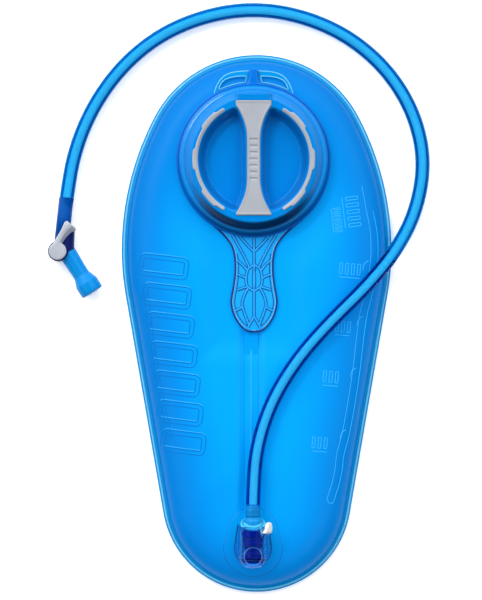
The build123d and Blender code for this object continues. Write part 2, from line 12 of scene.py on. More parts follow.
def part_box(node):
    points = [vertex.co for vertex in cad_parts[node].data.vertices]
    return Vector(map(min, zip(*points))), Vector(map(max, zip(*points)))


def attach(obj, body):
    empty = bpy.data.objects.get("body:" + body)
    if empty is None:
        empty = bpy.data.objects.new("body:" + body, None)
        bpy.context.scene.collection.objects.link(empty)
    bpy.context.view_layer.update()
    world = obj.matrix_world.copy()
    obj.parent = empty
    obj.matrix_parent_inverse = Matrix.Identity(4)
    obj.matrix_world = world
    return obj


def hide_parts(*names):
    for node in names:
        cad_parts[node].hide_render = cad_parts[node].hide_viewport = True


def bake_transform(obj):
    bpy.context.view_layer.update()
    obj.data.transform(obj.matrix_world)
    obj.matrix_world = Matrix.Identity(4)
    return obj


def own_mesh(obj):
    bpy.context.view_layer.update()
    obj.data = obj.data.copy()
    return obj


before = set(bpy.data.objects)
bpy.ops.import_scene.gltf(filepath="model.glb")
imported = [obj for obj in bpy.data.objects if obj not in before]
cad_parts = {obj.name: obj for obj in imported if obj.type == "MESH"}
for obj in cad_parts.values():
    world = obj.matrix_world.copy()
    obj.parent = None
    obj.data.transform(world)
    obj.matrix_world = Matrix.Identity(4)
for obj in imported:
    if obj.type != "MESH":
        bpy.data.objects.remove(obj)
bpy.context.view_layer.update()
MM = 0.001


# ---- places read from the frame, in millimetres ----
def mm_box(node):
    """A CAD node's lowest and highest corners."""
    low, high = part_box(node)
    return [v / MM for v in low], [v / MM for v in high]


def centre(node):
    """The middle of a CAD node's box."""
    low, high = mm_box(node)
    return [(a + b) / 2 for a, b in zip(low, high)]


SEAM_BASE, SEAM_TOP = (corner[2] for corner in mm_box("perimeter_seam"))
BACK_Z, CROWN_Z = mm_box("film_back")[0][2], mm_box("film_front")[1][2]
PORT_X, PORT_Y = centre("collar_neck")[:2]
EXIT_X, _, AXIS_Z = centre("plug_collar")
BLOCK_TOP = mm_box("cap_body")[1][2]
BAFFLE_X = centre("baffle")[0]
BAFFLE_Y0, BAFFLE_Y1 = (corner[1] for corner in mm_box("baffle"))

# ---- bag outline: the CAD's tangent arcs ----
TOP_R, TOP_Y = 90.0, 120.0
SHOULDER_X, SHOULDER_Y = -118.0, 57.5
HIP_R = 203.0
FOOT_R, FOOT_Y = 74.0, -136.0
shoulder_r = TOP_R + hypot(SHOULDER_X, TOP_Y - SHOULDER_Y)
half_width = SHOULDER_X + shoulder_r
hip_x = half_width - HIP_R
shoulder_join = atan2(TOP_Y - SHOULDER_Y, -SHOULDER_X)
hip_reach = hypot(hip_x, SHOULDER_Y - FOOT_Y)
side_lean = atan2(SHOULDER_Y - FOOT_Y, hip_x) - acos((FOOT_R - HIP_R) / hip_reach)
OUTLINE_ARCS = (
    (0, FOOT_Y, FOOT_R, -pi / 2, side_lean), (hip_x, SHOULDER_Y, HIP_R, side_lean, 0),
    (SHOULDER_X, SHOULDER_Y, shoulder_r, 0, shoulder_join), (0, TOP_Y, TOP_R, shoulder_join, pi / 2))

# ---- driving dimensions of the visible forms, in millimetres ----
LOOP_STEP, FIELD_STEP, BAFFLE_STEP = 1.6, 2.4, 2.0
FILM_T, PAD_T = 0.4, 0.5
ROLL_W, ROLL_END, ROLL_POWER, ROLL_STEPS = 24.0, 29.0, 2.5, 12
BACK_ROLL_W = 12
PUFF, SWELL = 2.3, 0.9
EDGE_SHADE_SPAN = 58.0
BAFFLE_HALF, BAFFLE_DIP, BAFFLE_EDGE, BAFFLE_RIDGE = 5.5, 2.4, 5.0, 0.45
CAP_R = 57.4
CROWN = BLOCK_TOP - 1.0
WELL_R, WELL_FLOOR, WELL_DEPTH, WELL_SLOPE = 43.0, 27.0, 14.0, 6.6
BAR_WAIST, BAR_END, BAR_Y0, BAR_Y1, BAR_TOP = 5.0, 13.7, -43.0, 45.2, 42.2
BAR_FLARE_Y0, BAR_FLARE_Y1, BAR_FLARE_POWER = 14.0, 41.5, 2.2
BLOCK_HALF, BLOCK_LEN = 13.6, 5.2
GRIP_HALF, GRIP_OUTER, LOBE_RISE = 60.0, 45.6, 1.4
GROOVE_SPAN, GROOVE_PITCH = 17.5, 5.0
# rings of painted shade on the cap: middle radius, half-width and depth
RIM_SHADE_RINGS = ((39.8, 3.4, 0.34), (51.0, 1.6, 0.22), (57.5, 1.1, 0.40))
HOSE_R = 5.6
HOSE_ROUTE = (
    (-3.0, -149.7, 34.0), (-3.0, -131.0, 34.0), (-0.5, -95.0, 31.8), (11.2, -59.4, 30.1),
    (31.6, -26.4, 30.3), (57.1, 2.1, 29.9), (85.0, 29.2, 30.7), (108.7, 57.2, 19.1),
    (125.5, 89.5, 6.0), (131.6, 128.3, 5.7), (122.6, 166.1, 5.6), (102.0, 198.9, 5.6),
    (72.6, 224.3, 5.6), (37.4, 240.2, 5.6), (-0.9, 246.5, 5.6), (-39.1, 241.2, 5.6),
    (-75.1, 226.2, 5.6), (-104.9, 202.0, 5.6), (-127.8, 170.5, 5.6), (-142.6, 135.0, 5.6),
    (-148.8, 96.8, 7.4), (-150.6, 78.0, 9.0))
HOSE_LOOK = 2.7
STRAP_Z = 26.5
LUG_TOP, SLOT_LOW_R = 24.0, 60.9
LUG_CREST = ((30.6, 52.0), (28.8, 57.0), (26.2, 61.8), (22.0, 65.9), (16.0, 68.2), (9.0, 69.1), (0.0, 69.4))
SLOT_TOP = ((26.8, 55.8), (25.0, 59.8), (22.0, 62.6), (17.6, 64.3), (12.0, 65.2), (6.4, 65.3), (5.6, 64.6))
HANDLE_X, HANDLE_TOP, HANDLE_TIP = PORT_X + 0.4, 24.2, -132.6
RIB_R, RIB_SIDE, RIB_SIDE_R = 0.8, 0.95, 0.34
HANDLE_SIDE = ((38.2, -45.0), (27.6, -53.8), (20.2, -61.7), (16.6, -68.6), (15.1, -77.0), (15.0, -86.0),
               (16.2, -96.5), (17.9, -106.0), (17.9, -112.0), (15.8, -119.5), (11.6, -126.5), (6.0, -131.3))
HANDLE_WALL = ((12.9, -72.0), (12.0, -80.0), (12.2, -90.0), (13.4, -99.0), (14.8, -107.0), (14.7, -112.5),
               (12.6, -119.0), (9.0, -124.6), (4.4, -128.6))
HANDLE_RIBS = (
    [(0, -60), (0, -72), (0, -83.5)], [(0, -70.5), (6.5, -64), (12.2, -57)],
    [(3.4, -83), (9.2, -71), (16.8, -57.5)],
    [(0, -80.5), (4.6, -84), (6.2, -91), (5.2, -97), (0, -101)], [(0, -83.5), (0.3, -92), (0, -100.5)],
    [(5.6, -84.5), (9, -80.5), (13.2, -77)], [(6.2, -91), (9.6, -89.2), (13, -88)],
    [(5.0, -97.3), (9, -98.6), (13, -100)],
    [(4.4, -98.2), (8.3, -106), (8.8, -113.5), (4.2, -126.5)], [(0, -101), (0, -111), (0, -120.5)],
    [(0, -120.5), (-2.4, -124.6), (-4.6, -128.8)], [(8.8, -112.5), (11.2, -114.5), (14.6, -116)])
EXIT_Y, MOUTH_Y, BARREL_Y0 = -170.0, -154.8, -187.5
BARREL_R, BORE_R, BORE_END = 11.6, 9.8, -177.0
SOCKET_R, SOCKET_Y, SOCKET_MOUTH_HALF = 14.3, -173.0, 11.4
BUTTON_TILT = radians(55)
LEAF_LOW, LEAF_BOW, LEAF_HALF, LEAF_Y0, LEAF_Y1 = 10.7, 1.1, 3.6, -160.0, -156.6
COLLAR_Y, COLLAR_RAKE = -154.2, radians(27)
PIVOT = (-154.5, 56.2)
BARB_LEN = 20.0
hose_end = Vector(HOSE_ROUTE[-1])
into_hose = (Vector(HOSE_ROUTE[-2]) - hose_end).normalized()
valve_corner = Vector((-151.6, 61.0, 9.0))
bite_out = (Vector((-128.0, 24.2, 9.0)) - valve_corner).normalized()
bite_start = valve_corner + bite_out * 8.7
CAMERA_HEIGHT, FRAME_HEIGHT, SENSOR = 1.6, 0.471, 36.0
FLOOR_REACH, FLOOR_Z = 15000, -0.6
SKY_LOW, SKY_HIGH, SKY_BRIGHTEST = 0.08, 2.5, (-0.10, 0.64, 0.76)
GAUGE_LINE = ((81.4, 106.4), (84.6, 89.0), (88.0, 70.0), (88.2, 50.0), (84.5, 27.0), (79.1, 3.5), (74.2, -36.7),
              (69.8, -65.2), (66.0, -85.3), (62.1, -100.1), (60.6, -112.0), (58.6, -122.0), (54.3, -135.7))
GAUGE_MARKS = ((84.0, 46.0), (79.5, 3.0), (74.5, -37.0), (66.5, -85.0))
GAUGE_TALLIES = ((68.6, 97.6, 9.4, 5, -83), (59.0, 89.0, 5.2, 7, -83), (63.8, 38.6, 8.4, 4, -4),
                 (60.6, -6.0, 8.4, 3, -5), (51.0, -45.0, 8.6, 3, -5), (42.6, -96.0, 8.4, 3, -5))
TABLET_COUNT, TABLET_FROM, TABLET_TO = 7, (-72.0, 44.0), (-57.0, -92.0)
SIDE_WELD = ((-88.0, 30.0), (-83.0, -10.0), (-76.5, -50.0), (-68.5, -90.0))


# ---- small tools ----
def clamp(v, low=0.0, high=1.0):
    """v kept between low and high."""
    return max(low, min(high, v))


def ease(v, low, high):
    """0 before low, 1 after high, smooth between."""
    t = clamp((v - low) / (high - low))
    return t * t * (3 - 2 * t)


def shown(name, data):
    """A new object in the scene."""
    obj = bpy.data.objects.new(name, data)
    bpy.context.scene.collection.objects.link(obj)
    return obj


def mesh_object(name, points, faces, smooth=True):
    """An object from points in millimetres."""
    mesh = bpy.data.meshes.new(name)
    mesh.from_pydata([(x * MM, y * MM, z * MM) for x, y, z in points], [], faces)
    mesh.validate()
    mesh.update()
    if smooth:
        mesh.shade_smooth()
    return shown(name, mesh)


def fix_normals(obj):
    """Joins doubled corners and turns every face outwards."""
    bm = bmesh.new()
    bm.from_mesh(obj.data)
    bmesh.ops.remove_doubles(bm, verts=bm.verts, dist=1e-6)
    bmesh.ops.recalc_face_normals(bm, faces=bm.faces)
    bm.to_mesh(obj.data)
    bm.free()
    return obj


def skin(name, loops, ends=True, wrap=False):
    """A surface through closed loops of equal length; wrap joins the last loop to the first."""
    count = len(loops[0])
    points = [p for loop in loops for p in loop]
    faces = []
    for i in range(len(loops) if wrap else len(loops) - 1):
        a, b = i * count, (i + 1) % len(loops) * count
        for j in range(count):
            k = (j + 1) % count
            faces.append((a + j, a + k, b + k, b + j))
    if ends and not wrap:
        faces.append(tuple(range(count - 1, -1, -1)))
        faces.append(tuple((len(loops) - 1) * count + j for j in range(count)))
    return fix_normals(mesh_object(name, points, faces))


def lathe(name, profile, matrix, segments=96):
    """Turns (radius, height) corners round Z, then places the result with a matrix in millimetres."""
    loops = []
    for k in range(segments):
        c, s = cos(2 * pi * k / segments), sin(2 * pi * k / segments)
        loops.append([matrix @ Vector((r * c, r * s, h)) for r, h in profile])
    return skin(name, loops, wrap=True)


def rounded(profile, radius, steps=4):
    """Rounds the corners of a closed profile of (radius, height) points."""
    out = []
    n = len(profile)
    for k in range(n):
        p, q, r = Vector(profile[k - 1]), Vector(profile[k]), Vector(profile[(k + 1) % n])
        reach = min(radius, (p - q).length * 0.45, (r - q).length * 0.45)
        if reach < 0.02 or q.x < 0.01:
            out.append(tuple(q))
            continue
        a, b = q + (p - q).normalized() * reach, q + (r - q).normalized() * reach
        for j in range(steps + 1):
            t = j / steps
            out.append(tuple(a * (1 - t) ** 2 + q * 2 * t * (1 - t) + b * t * t))
    return out


def curve_object(name, kind, paths, cyclic=False, **settings):
    """A curve through lists of points in millimetres."""
    curve = bpy.data.curves.new(name, "CURVE")
    for key, value in settings.items():
        setattr(curve, key, value)
    for path in paths:
        spline = curve.splines.new(kind)
        spline.points.add(len(path) - 1)
        for point, place in zip(spline.points, path):
            point.co = (*[v * MM for v in place], 1.0)
        spline.use_cyclic_u = cyclic
    return shown(name, curve)


def tube(name, paths, radius, cyclic=False):
    """Round bars along lists of points in millimetres, as one mesh."""
    return baked(curve_object(name, "POLY", paths, cyclic, dimensions="3D", bevel_depth=radius * MM,
                              bevel_resolution=3, use_fill_caps=True))


def baked(obj):
    """Applies an object's modifiers or curve settings and leaves one plain smooth mesh."""
    name = obj.name
    mesh = bpy.data.meshes.new_from_object(obj.evaluated_get(bpy.context.evaluated_depsgraph_get()))
    mesh.shade_smooth()
    bpy.data.objects.remove(obj)
    return shown(name, mesh)


def fuse(name, parts, voxel, rounds=4):
    """One watertight moulding from closed pieces that overlap, with its joins melted together."""
    bm = bmesh.new()
    for part in parts:
        bm.from_mesh(part.data)
        bpy.data.objects.remove(part)
    mesh = bpy.data.meshes.new(name)
    bm.to_mesh(mesh)
    bm.free()
    obj = shown(name, mesh)
    modify(obj, "REMESH", mode="VOXEL", voxel_size=voxel * MM)
    modify(obj, "SMOOTH", factor=0.5, iterations=rounds)
    return baked(obj)


def carve(obj, tool):
    """Cuts one closed piece out of another."""
    modify(obj, "BOOLEAN", operation="DIFFERENCE", solver="EXACT", object=tool)
    obj = baked(obj)
    bpy.data.objects.remove(tool)
    return obj


def plate(name, outlines, low, high, edge):
    """A flat moulding with rounded edges; the first outline is its outside and the rest are holes."""
    paths = [lifted(outline, 0) for outline in outlines]
    flat = baked(curve_object(name, "POLY", paths, True, dimensions="2D", fill_mode="BOTH",
                              extrude=((high - low) / 2 - edge) * MM, bevel_depth=edge * MM,
                              bevel_resolution=3, offset=-edge * MM))
    flat.data.transform(Matrix.Translation((0, 0, (low + high) / 2 * MM)))
    return fix_normals(flat)


def lifted(path, z):
    """A flat path raised to a height."""
    return [(x, y, z) for x, y in path]


def at_port(path, side=1):
    """A flat path given about the filling port's centre; side -1 mirrors it."""
    return [(PORT_X + side * x, PORT_Y + y) for x, y in path]


def arc(cx, cy, radius, start, end, step=2.0):
    """Points along an arc, with its angles in degrees."""
    count = max(2, round(abs(radians(end - start)) * radius / step))
    angles = [radians(start + (end - start) * k / count) for k in range(count + 1)]
    return [(cx + radius * cos(a), cy + radius * sin(a)) for a in angles]


def flowing(points, per_span=8, cyclic=False):
    """A smooth line through a few points."""
    n = len(points)
    out = []
    for k in range(n if cyclic else n - 1):
        near = [(k + j) % n if cyclic else min(max(k + j, 0), n - 1) for j in (-1, 0, 1, 2)]
        p = [Vector(points[i]) for i in near]
        for j in range(per_span):
            t = j / per_span
            square = (2 * p[0] - 5 * p[1] + 4 * p[2] - p[3]) * t * t
            cube = (3 * p[1] - p[0] - 3 * p[2] + p[3]) * t ** 3
            out.append(tuple(0.5 * (2 * p[1] + (p[2] - p[0]) * t + square + cube)))
    return out if cyclic else out + [tuple(points[-1])]


def modify(obj, kind, **settings):
    """Adds a modifier and sets it."""
    modifier = obj.modifiers.new(kind.title(), kind)
    for key, value in settings.items():
        setattr(modifier, key, value)
    return modifier


def dress(obj, material, body, *nodes, slot=None):
    """Material, body and the CAD nodes that a piece stands for."""
    obj.data.materials.clear()
    obj.data.materials.append(material)
    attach(obj, body)
    if nodes:
        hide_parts(*nodes)
    return obj


def raised_line(name, paths, radius, material, *nodes, slot="clear_plastic", cyclic=False):
    """Fine round ribs on the bag, as one piece."""
    return dress(tube(name, paths, radius, cyclic), material, "bladder", *nodes, slot=slot)


def facing(direction):
    """Turns a shape made about Z to a direction."""
    return direction.to_track_quat("Z", "Y").to_matrix().to_4x4()


# ---- materials ----
def add_node(tree, kind, inputs=(), **settings):
    """A new shader node with its settings and then its inputs filled in."""
    node = tree.nodes.new("ShaderNode" + kind)
    for key, value in settings.items():
        setattr(node, key, value)
    for key, value in dict(inputs).items():
        node.inputs[key].default_value = value
    return node


def principled(material):
    """The material's own shader node."""
    return material.node_tree.nodes["Principled BSDF"]


def plastic(name, dark, light, rough, rough_spread, scale=60.0, grain=0.0, grain_scale=1500.0,
            coat=0.0, clear=0.0, ior=1.46, shine=0.25):
    """Moulded plastic or rubber: slow colour drift, uneven gloss and a fine moulded grain."""
    material = bpy.data.materials.new(name)
    material.use_nodes = True
    tree, shader = material.node_tree, principled(material)
    link = tree.links.new
    place = add_node(tree, "TexCoord")
    drift = add_node(tree, "TexNoise", {"Scale": scale, "Detail": 3.0})
    link(place.outputs["Object"], drift.inputs["Vector"])
    tint = add_node(tree, "Mix", {"A": (*dark, 1), "B": (*light, 1)}, data_type="RGBA")
    link(drift.outputs["Fac"], tint.inputs["Factor"])
    link(tint.outputs["Result"], shader.inputs["Base Color"])
    span = {"To Min": max(0.0, rough - rough_spread), "To Max": rough + rough_spread}
    gloss = add_node(tree, "MapRange", span)
    link(drift.outputs["Fac"], gloss.inputs["Value"])
    link(gloss.outputs["Result"], shader.inputs["Roughness"])
    if grain:
        fine = add_node(tree, "TexNoise", {"Scale": grain_scale, "Detail": 2.0})
        link(place.outputs["Object"], fine.inputs["Vector"])
        bump = add_node(tree, "Bump", {"Strength": grain, "Distance": 0.0002})
        link(fine.outputs["Fac"], bump.inputs["Height"])
        link(bump.outputs["Normal"], shader.inputs["Normal"])
    shader.inputs["Coat Weight"].default_value = coat
    shader.inputs["Coat Roughness"].default_value = 0.08
    shader.inputs["Transmission Weight"].default_value = clear
    shader.inputs["IOR"].default_value = ior
    shader.inputs["Specular IOR Level"].default_value = 0.5 if clear else shine
    return material


def paint_shade_ramp(material, attribute, stops):
    """Multiplies a material's colour by a ramp along one of the mesh's own attributes, to paint shade."""
    tree, shader = material.node_tree, principled(material)
    link = tree.links.new
    drift = shader.inputs["Base Color"].links[0].from_socket
    measure = add_node(tree, "Attribute", attribute_name=attribute)
    ramp = add_node(tree, "ValToRGB")
    while len(ramp.color_ramp.elements) < len(stops):
        ramp.color_ramp.elements.new(0.5)
    for element, (place, colour) in zip(ramp.color_ramp.elements, stops):
        element.position = place
        element.color = (*colour, 1)
    link(measure.outputs["Fac"], ramp.inputs["Fac"])
    tint = add_node(tree, "Mix", {"Factor": 1.0}, data_type="RGBA", blend_type="MULTIPLY")
    link(drift, tint.inputs["A"])
    link(ramp.outputs["Color"], tint.inputs["B"])
    link(tint.outputs["Result"], shader.inputs["Base Color"])


def measured(obj, attribute, rule):
    """Stores a number worked out from each vertex's place, in millimetres, on the mesh."""
    values = obj.data.attributes.new(attribute, "FLOAT", "POINT")
    for vertex, value in zip(obj.data.vertices, values.data):
        value.value = rule(*(vertex.co / MM))


def glow(material, colour, strength):
    """Emission: a painted glow that stands in for light soaking through thin translucent plastic, or keeps a
    floor evenly bright.
    """
    shader = principled(material)
    shader.inputs["Emission Color"].default_value = (*colour, 1.0)
    shader.inputs["Emission Strength"].default_value = strength


# colour of the painted glow on film-like plastic
FILM_GLOW = (0.0, 0.33, 1.0)


def film_material():
    """Film: painted shade darkens it toward the edge where it curves down to the seam, and a painted glow
    stands in for light through it; with slow uneven tint and satin gloss.
    """
    material = plastic("film_blue", (0.0, 0.20, 0.53), (0.0, 0.26, 0.61), 0.36, 0.07, scale=9, grain=0.10,
                       grain_scale=700)
    # painted shade: the colour darkens toward the bag's edge along the inset attribute
    paint_shade_ramp(material, "inset", ((0.0, (0.30, 0.37, 0.52)), (0.14, (0.32, 0.40, 0.56)),
                               (0.40, (0.50, 0.58, 0.74)), (0.72, (0.9, 0.9, 0.96)), (1.0, (1.0, 1.06, 1.04))))
    principled(material).inputs["Specular IOR Level"].default_value = 0.06
    # painted glow: emission standing in for light that passes through the film
    glow(material, FILM_GLOW, 0.30)
    return material


film_blue = film_material()
weld_blue = plastic("weld_blue", (0.0, 0.20, 0.56), (0.0, 0.26, 0.66), 0.25, 0.06, scale=30, grain=0.08,
                    shine=0.1)
lug_blue = plastic("lug_blue", (0.0, 0.17, 0.46), (0.0, 0.23, 0.54), 0.15, 0.04, scale=30, shine=0.15)
# lighter cyan for lines painted as highlights on lips and beads
painted_highlight_cyan = plastic("painted_highlight_cyan", (0.10, 0.46, 0.72), (0.16, 0.54, 0.78), 0.12, 0.04, scale=40, coat=0.3)
ring_violet = plastic("ring_violet", (0.07, 0.15, 0.5), (0.1, 0.2, 0.6), 0.3, 0.05, scale=40)
# dark navy for lines painted as shade along edges and rib sides
painted_shade_navy = plastic("painted_shade_navy", (0.0, 0.022, 0.15), (0.0, 0.04, 0.21), 0.15, 0.04, scale=40, coat=0.2)
rib_blue = plastic("rib_blue", (0.0, 0.22, 0.58), (0.01, 0.27, 0.64), 0.1, 0.04, coat=0.12, shine=0.1)
weld_line = plastic("weld_line", (0.0, 0.12, 0.42), (0.0, 0.15, 0.48), 0.2, 0.04, scale=40, shine=0.1)
# lighter than the film: a painted highlight along raised marks
film_mark_highlight = plastic("film_mark_highlight", (0.02, 0.31, 0.66), (0.04, 0.38, 0.72), 0.28, 0.05, scale=30, grain=0.05,
                    shine=0.2)
seam_blue = plastic("seam_blue", (0.0, 0.15, 0.40), (0.0, 0.20, 0.47), 0.2, 0.05, scale=30, grain=0.1,
                    shine=0.12)
cap_blue = plastic("cap_blue", (0.0, 0.17, 0.55), (0.0, 0.21, 0.62), 0.2, 0.05, scale=25, grain=0.04,
                   coat=0.2, shine=0.06)
# painted shade: the cap darkens low on its rim and in rings at the rim's steps
paint_shade_ramp(cap_blue, "painted_shade", ((0.0, (1.0, 1.0, 1.0)), (1.0, (0.2, 0.12, 0.16))))
tether_blue = plastic("tether_blue", (0.0, 0.10, 0.48), (0.0, 0.13, 0.56), 0.22, 0.05, grain=0.05, shine=0.15)
strap_blue = plastic("strap_blue", (0.0, 0.13, 0.54), (0.0, 0.16, 0.60), 0.25, 0.05, grain=0.05, shine=0.15)
grip_grey = plastic("grip_grey", (0.28, 0.30, 0.34), (0.36, 0.385, 0.43), 0.55, 0.08, grain=0.35,
                    grain_scale=2200)
socket_clear = plastic("socket_clear", (0.22, 0.70, 1.0), (0.30, 0.78, 1.0), 0.04, 0.02, clear=1.0, ior=1.18)
plug_blue = plastic("plug_blue", (0.0, 0.008, 0.22), (0.002, 0.02, 0.33), 0.25, 0.05, grain=0.05, shine=0.08)
tail_blue = plastic("tail_blue", (0.0, 0.20, 0.53), (0.0, 0.25, 0.6), 0.25, 0.05, grain=0.05, shine=0.2)
collar_cyan = plastic("collar_cyan", (0.03, 0.40, 0.62), (0.08, 0.50, 0.70), 0.15, 0.05, coat=0.4, grain=0.05)
button_white = plastic("button_white", (0.56, 0.57, 0.56), (0.64, 0.65, 0.64), 0.35, 0.05, grain=0.1)
seal_navy = plastic("seal_navy", (0.004, 0.012, 0.12), (0.008, 0.03, 0.18), 0.3, 0.08, grain=0.1)
steel = plastic("steel", (0.3, 0.36, 0.42), (0.42, 0.48, 0.54), 0.35, 0.08)
principled(steel).inputs["Metallic"].default_value = 1.0
navy = plastic("navy", (0.002, 0.008, 0.085), (0.004, 0.014, 0.13), 0.35, 0.06, grain=0.12, shine=0.08)
sleeve_blue = plastic("sleeve_blue", (0.0, 0.05, 0.25), (0.0, 0.065, 0.30), 0.25, 0.06, grain=0.05,
                      shine=0.05)
lever_grey = plastic("lever_grey", (0.30, 0.33, 0.39), (0.42, 0.45, 0.50), 0.4, 0.07, grain=0.2)
silicone_blue = plastic("silicone_blue", (0.0, 0.18, 0.54), (0.0, 0.25, 0.64), 0.3, 0.05, grain=0.1,
                        coat=0.1, shine=0.08)
hose_wall = plastic("hose_wall", (0.90, 0.96, 1.0), (0.95, 0.98, 1.0), 0.08, 0.03, scale=40, clear=1.0,
                    ior=1.08)
hose_tree = hose_wall.node_tree
stain = add_node(hose_tree, "VolumeAbsorption", {"Color": (0.0, 0.75, 0.89, 1.0), "Density": 1100.0})
hose_tree.links.new(stain.outputs["Volume"], hose_tree.nodes["Material Output"].inputs["Volume"])
hose_bore = plastic("hose_bore", (0.82, 0.86, 0.88), (0.88, 0.9, 0.92), 0.5, 0.05, scale=40, shine=0.1)
# painted glow: the light bore glows to light the hose from inside
glow(hose_bore, (1.0, 1.0, 1.0), 0.55)
# painted glow on the other translucent parts, standing in for light that passes through them
for translucent in (weld_blue, film_mark_highlight):
    glow(translucent, FILM_GLOW, 0.25)
for translucent in (lug_blue, seam_blue):
    glow(translucent, FILM_GLOW, 0.14)
# painted glow on the handle's plastic
glow(rib_blue, (0.02, 0.40, 1.0), 0.3)


# ---- bag ----
def bag_loop(inset):
    """The outline moved inwards, anticlockwise from the foot."""
    right = []
    for cx, cy, radius, start, end in OUTLINE_ARCS:
        count = round(radius * (end - start) / LOOP_STEP)
        angles = [start + (end - start) * k / count for k in range(count + 1)]
        span = [(cx + (radius - inset) * cos(a), cy + (radius - inset) * sin(a)) for a in angles]
        if cx == hip_x:
            (x0, y0), (x1, y1) = right[-1], span[0]
            steps = round(hypot(x1 - x0, y1 - y0) / LOOP_STEP)
            right += [(x0 + (x1 - x0) * (k / steps), y0 + (y1 - y0) * (k / steps)) for k in range(1, steps)]
        elif right:
            span = span[1:]
        right += span
    return right + [(-x, y) for x, y in reversed(right[1:-1])]


def inset_of(x, y):
    """Distance inside the outline."""
    x = abs(x)
    if atan2(y - TOP_Y, x) > shoulder_join:
        return TOP_R - hypot(x, y - TOP_Y)
    if y >= SHOULDER_Y:
        return shoulder_r - hypot(x - SHOULDER_X, y - SHOULDER_Y)
    if atan2(y - SHOULDER_Y, x - hip_x) >= side_lean:
        return HIP_R - hypot(x - hip_x, y - SHOULDER_Y)
    if atan2(y - FOOT_Y, x) > side_lean:
        return FOOT_R - (cos(side_lean) * x + sin(side_lean) * (y - FOOT_Y))
    return FOOT_R - hypot(x, y - FOOT_Y)


def edge_shade_share(x, y, z):
    """Share of the way in from the bag's edge to where the film's painted edge shade ends."""
    return clamp(inset_of(x, y) / EDGE_SHADE_SPAN)


def film_height(x, y):
    """Height of the front film: a rolled edge, a slow swell where it is free, a pinch along the baffle."""
    inset = inset_of(x, y)
    u = clamp((ROLL_END - inset) / ROLL_W)
    z = SEAM_TOP + (CROWN_Z - SEAM_TOP) * sqrt(max(0.0, 1 - u ** ROLL_POWER))
    from_port = hypot(x - PORT_X, y - PORT_Y)
    from_handle = max(abs(x - PORT_X) - 24, abs(y - PORT_Y + 75) - 62)
    from_exit = hypot((x - EXIT_X) * 1.1, y - EXIT_Y)
    free = ease(inset, 14, 52) * ease(from_port, 62, 96) * ease(from_handle, 0, 22) * ease(from_exit, 28, 60)
    swell = noise.noise(Vector((x * 0.011, y * 0.009, 3.7)))
    swell += 0.4 * noise.noise(Vector((x * 0.03, y * 0.024, 9.1)))
    z += free * (PUFF + SWELL * swell)
    across = abs(x - BAFFLE_X)
    along = ease(y, BAFFLE_Y0 - 6, BAFFLE_Y0 + 6) * (1 - ease(y, BAFFLE_Y1 - 2, BAFFLE_Y1 + 8))
    z -= BAFFLE_DIP * along * (1 - ease(across, BAFFLE_HALF - 0.6, BAFFLE_HALF + BAFFLE_EDGE))
    return z + BAFFLE_RIDGE * along * (1 - ease(across, 0.3, 1.1))


def film_points():
    """Rings near the edge, then an even field, with closer rows along the baffle."""
    angles = [radians(90 * k / ROLL_STEPS) for k in range(ROLL_STEPS + 1)]
    loops = [bag_loop(ROLL_END - ROLL_W * cos(a)) for a in angles]
    points = [p for loop in loops for p in loop]
    low, high = BAFFLE_Y0 - 8, BAFFLE_Y1 + 10
    for j in range(int(420 / FIELD_STEP)):
        y = -210 + j * FIELD_STEP
        for i in range(-50, 51):
            x = (i + 0.5 * (j % 2)) * FIELD_STEP
            near_baffle = abs(x - BAFFLE_X) < 9.5 and low < y < high
            if inset_of(x, y) > ROLL_END + 1.2 and not near_baffle:
                points.append((x, y))
    y = low
    while y < high:
        points.append((BAFFLE_X, y))
        for dx in (0.35, 0.8, 1.3, 3.0, 4.6, 5.4, 6.4, 7.6, 9.0):
            points += [(BAFFLE_X + dx, y), (BAFFLE_X - dx, y)]
        y += BAFFLE_STEP
    return points, len(loops[0])


def bag_front():
    """Front film with the port's mouth left open."""
    points, count = film_points()
    edges = [(k, (k + 1) % count) for k in range(count)]
    flat, _, faces, _, _, _ = delaunay_2d_cdt([Vector(p) for p in points], edges, [], 1, 1e-5)
    keep = []
    for face in faces:
        x, y = (sum(flat[v][axis] for v in face) / 3 for axis in (0, 1))
        if hypot(x - PORT_X, y - PORT_Y) > 47.5:
            keep.append(face)
    film = fix_normals(mesh_object("bag_front", [(*p, film_height(*p)) for p in flat], keep))
    measured(film, "inset", edge_shade_share)
    modify(film, "SOLIDIFY", thickness=FILM_T * MM, offset=-1)
    return dress(film, film_blue, "bladder", "film_front", slot="bag_film")


def bag_ring(inset, z):
    """The outline moved inwards, at a height."""
    return lifted(bag_loop(inset), z)


def bag_back():
    """Back film: a rolled edge and a flat middle."""
    loops = []
    for k in range(ROLL_STEPS + 1):
        t = radians(90 * k / ROLL_STEPS)
        loops.append(bag_ring(5 + BACK_ROLL_W * (1 - cos(t)), SEAM_BASE - (SEAM_BASE - BACK_Z) * sin(t)))
    loops += [bag_ring(inset, BACK_Z) for inset in range(22, 70, 6)]
    film = skin("bag_back", loops, ends=False)
    count = len(loops[0])
    bm = bmesh.new()
    bm.from_mesh(film.data)
    bm.verts.ensure_lookup_table()
    bmesh.ops.contextual_create(bm, geom=[bm.verts[(len(loops) - 1) * count + k] for k in range(count)])
    bm.to_mesh(film.data)
    bm.free()
    modify(film, "SOLIDIFY", thickness=FILM_T * MM, offset=1)
    return dress(film, weld_blue, "bladder", "film_back", slot="bag_film")


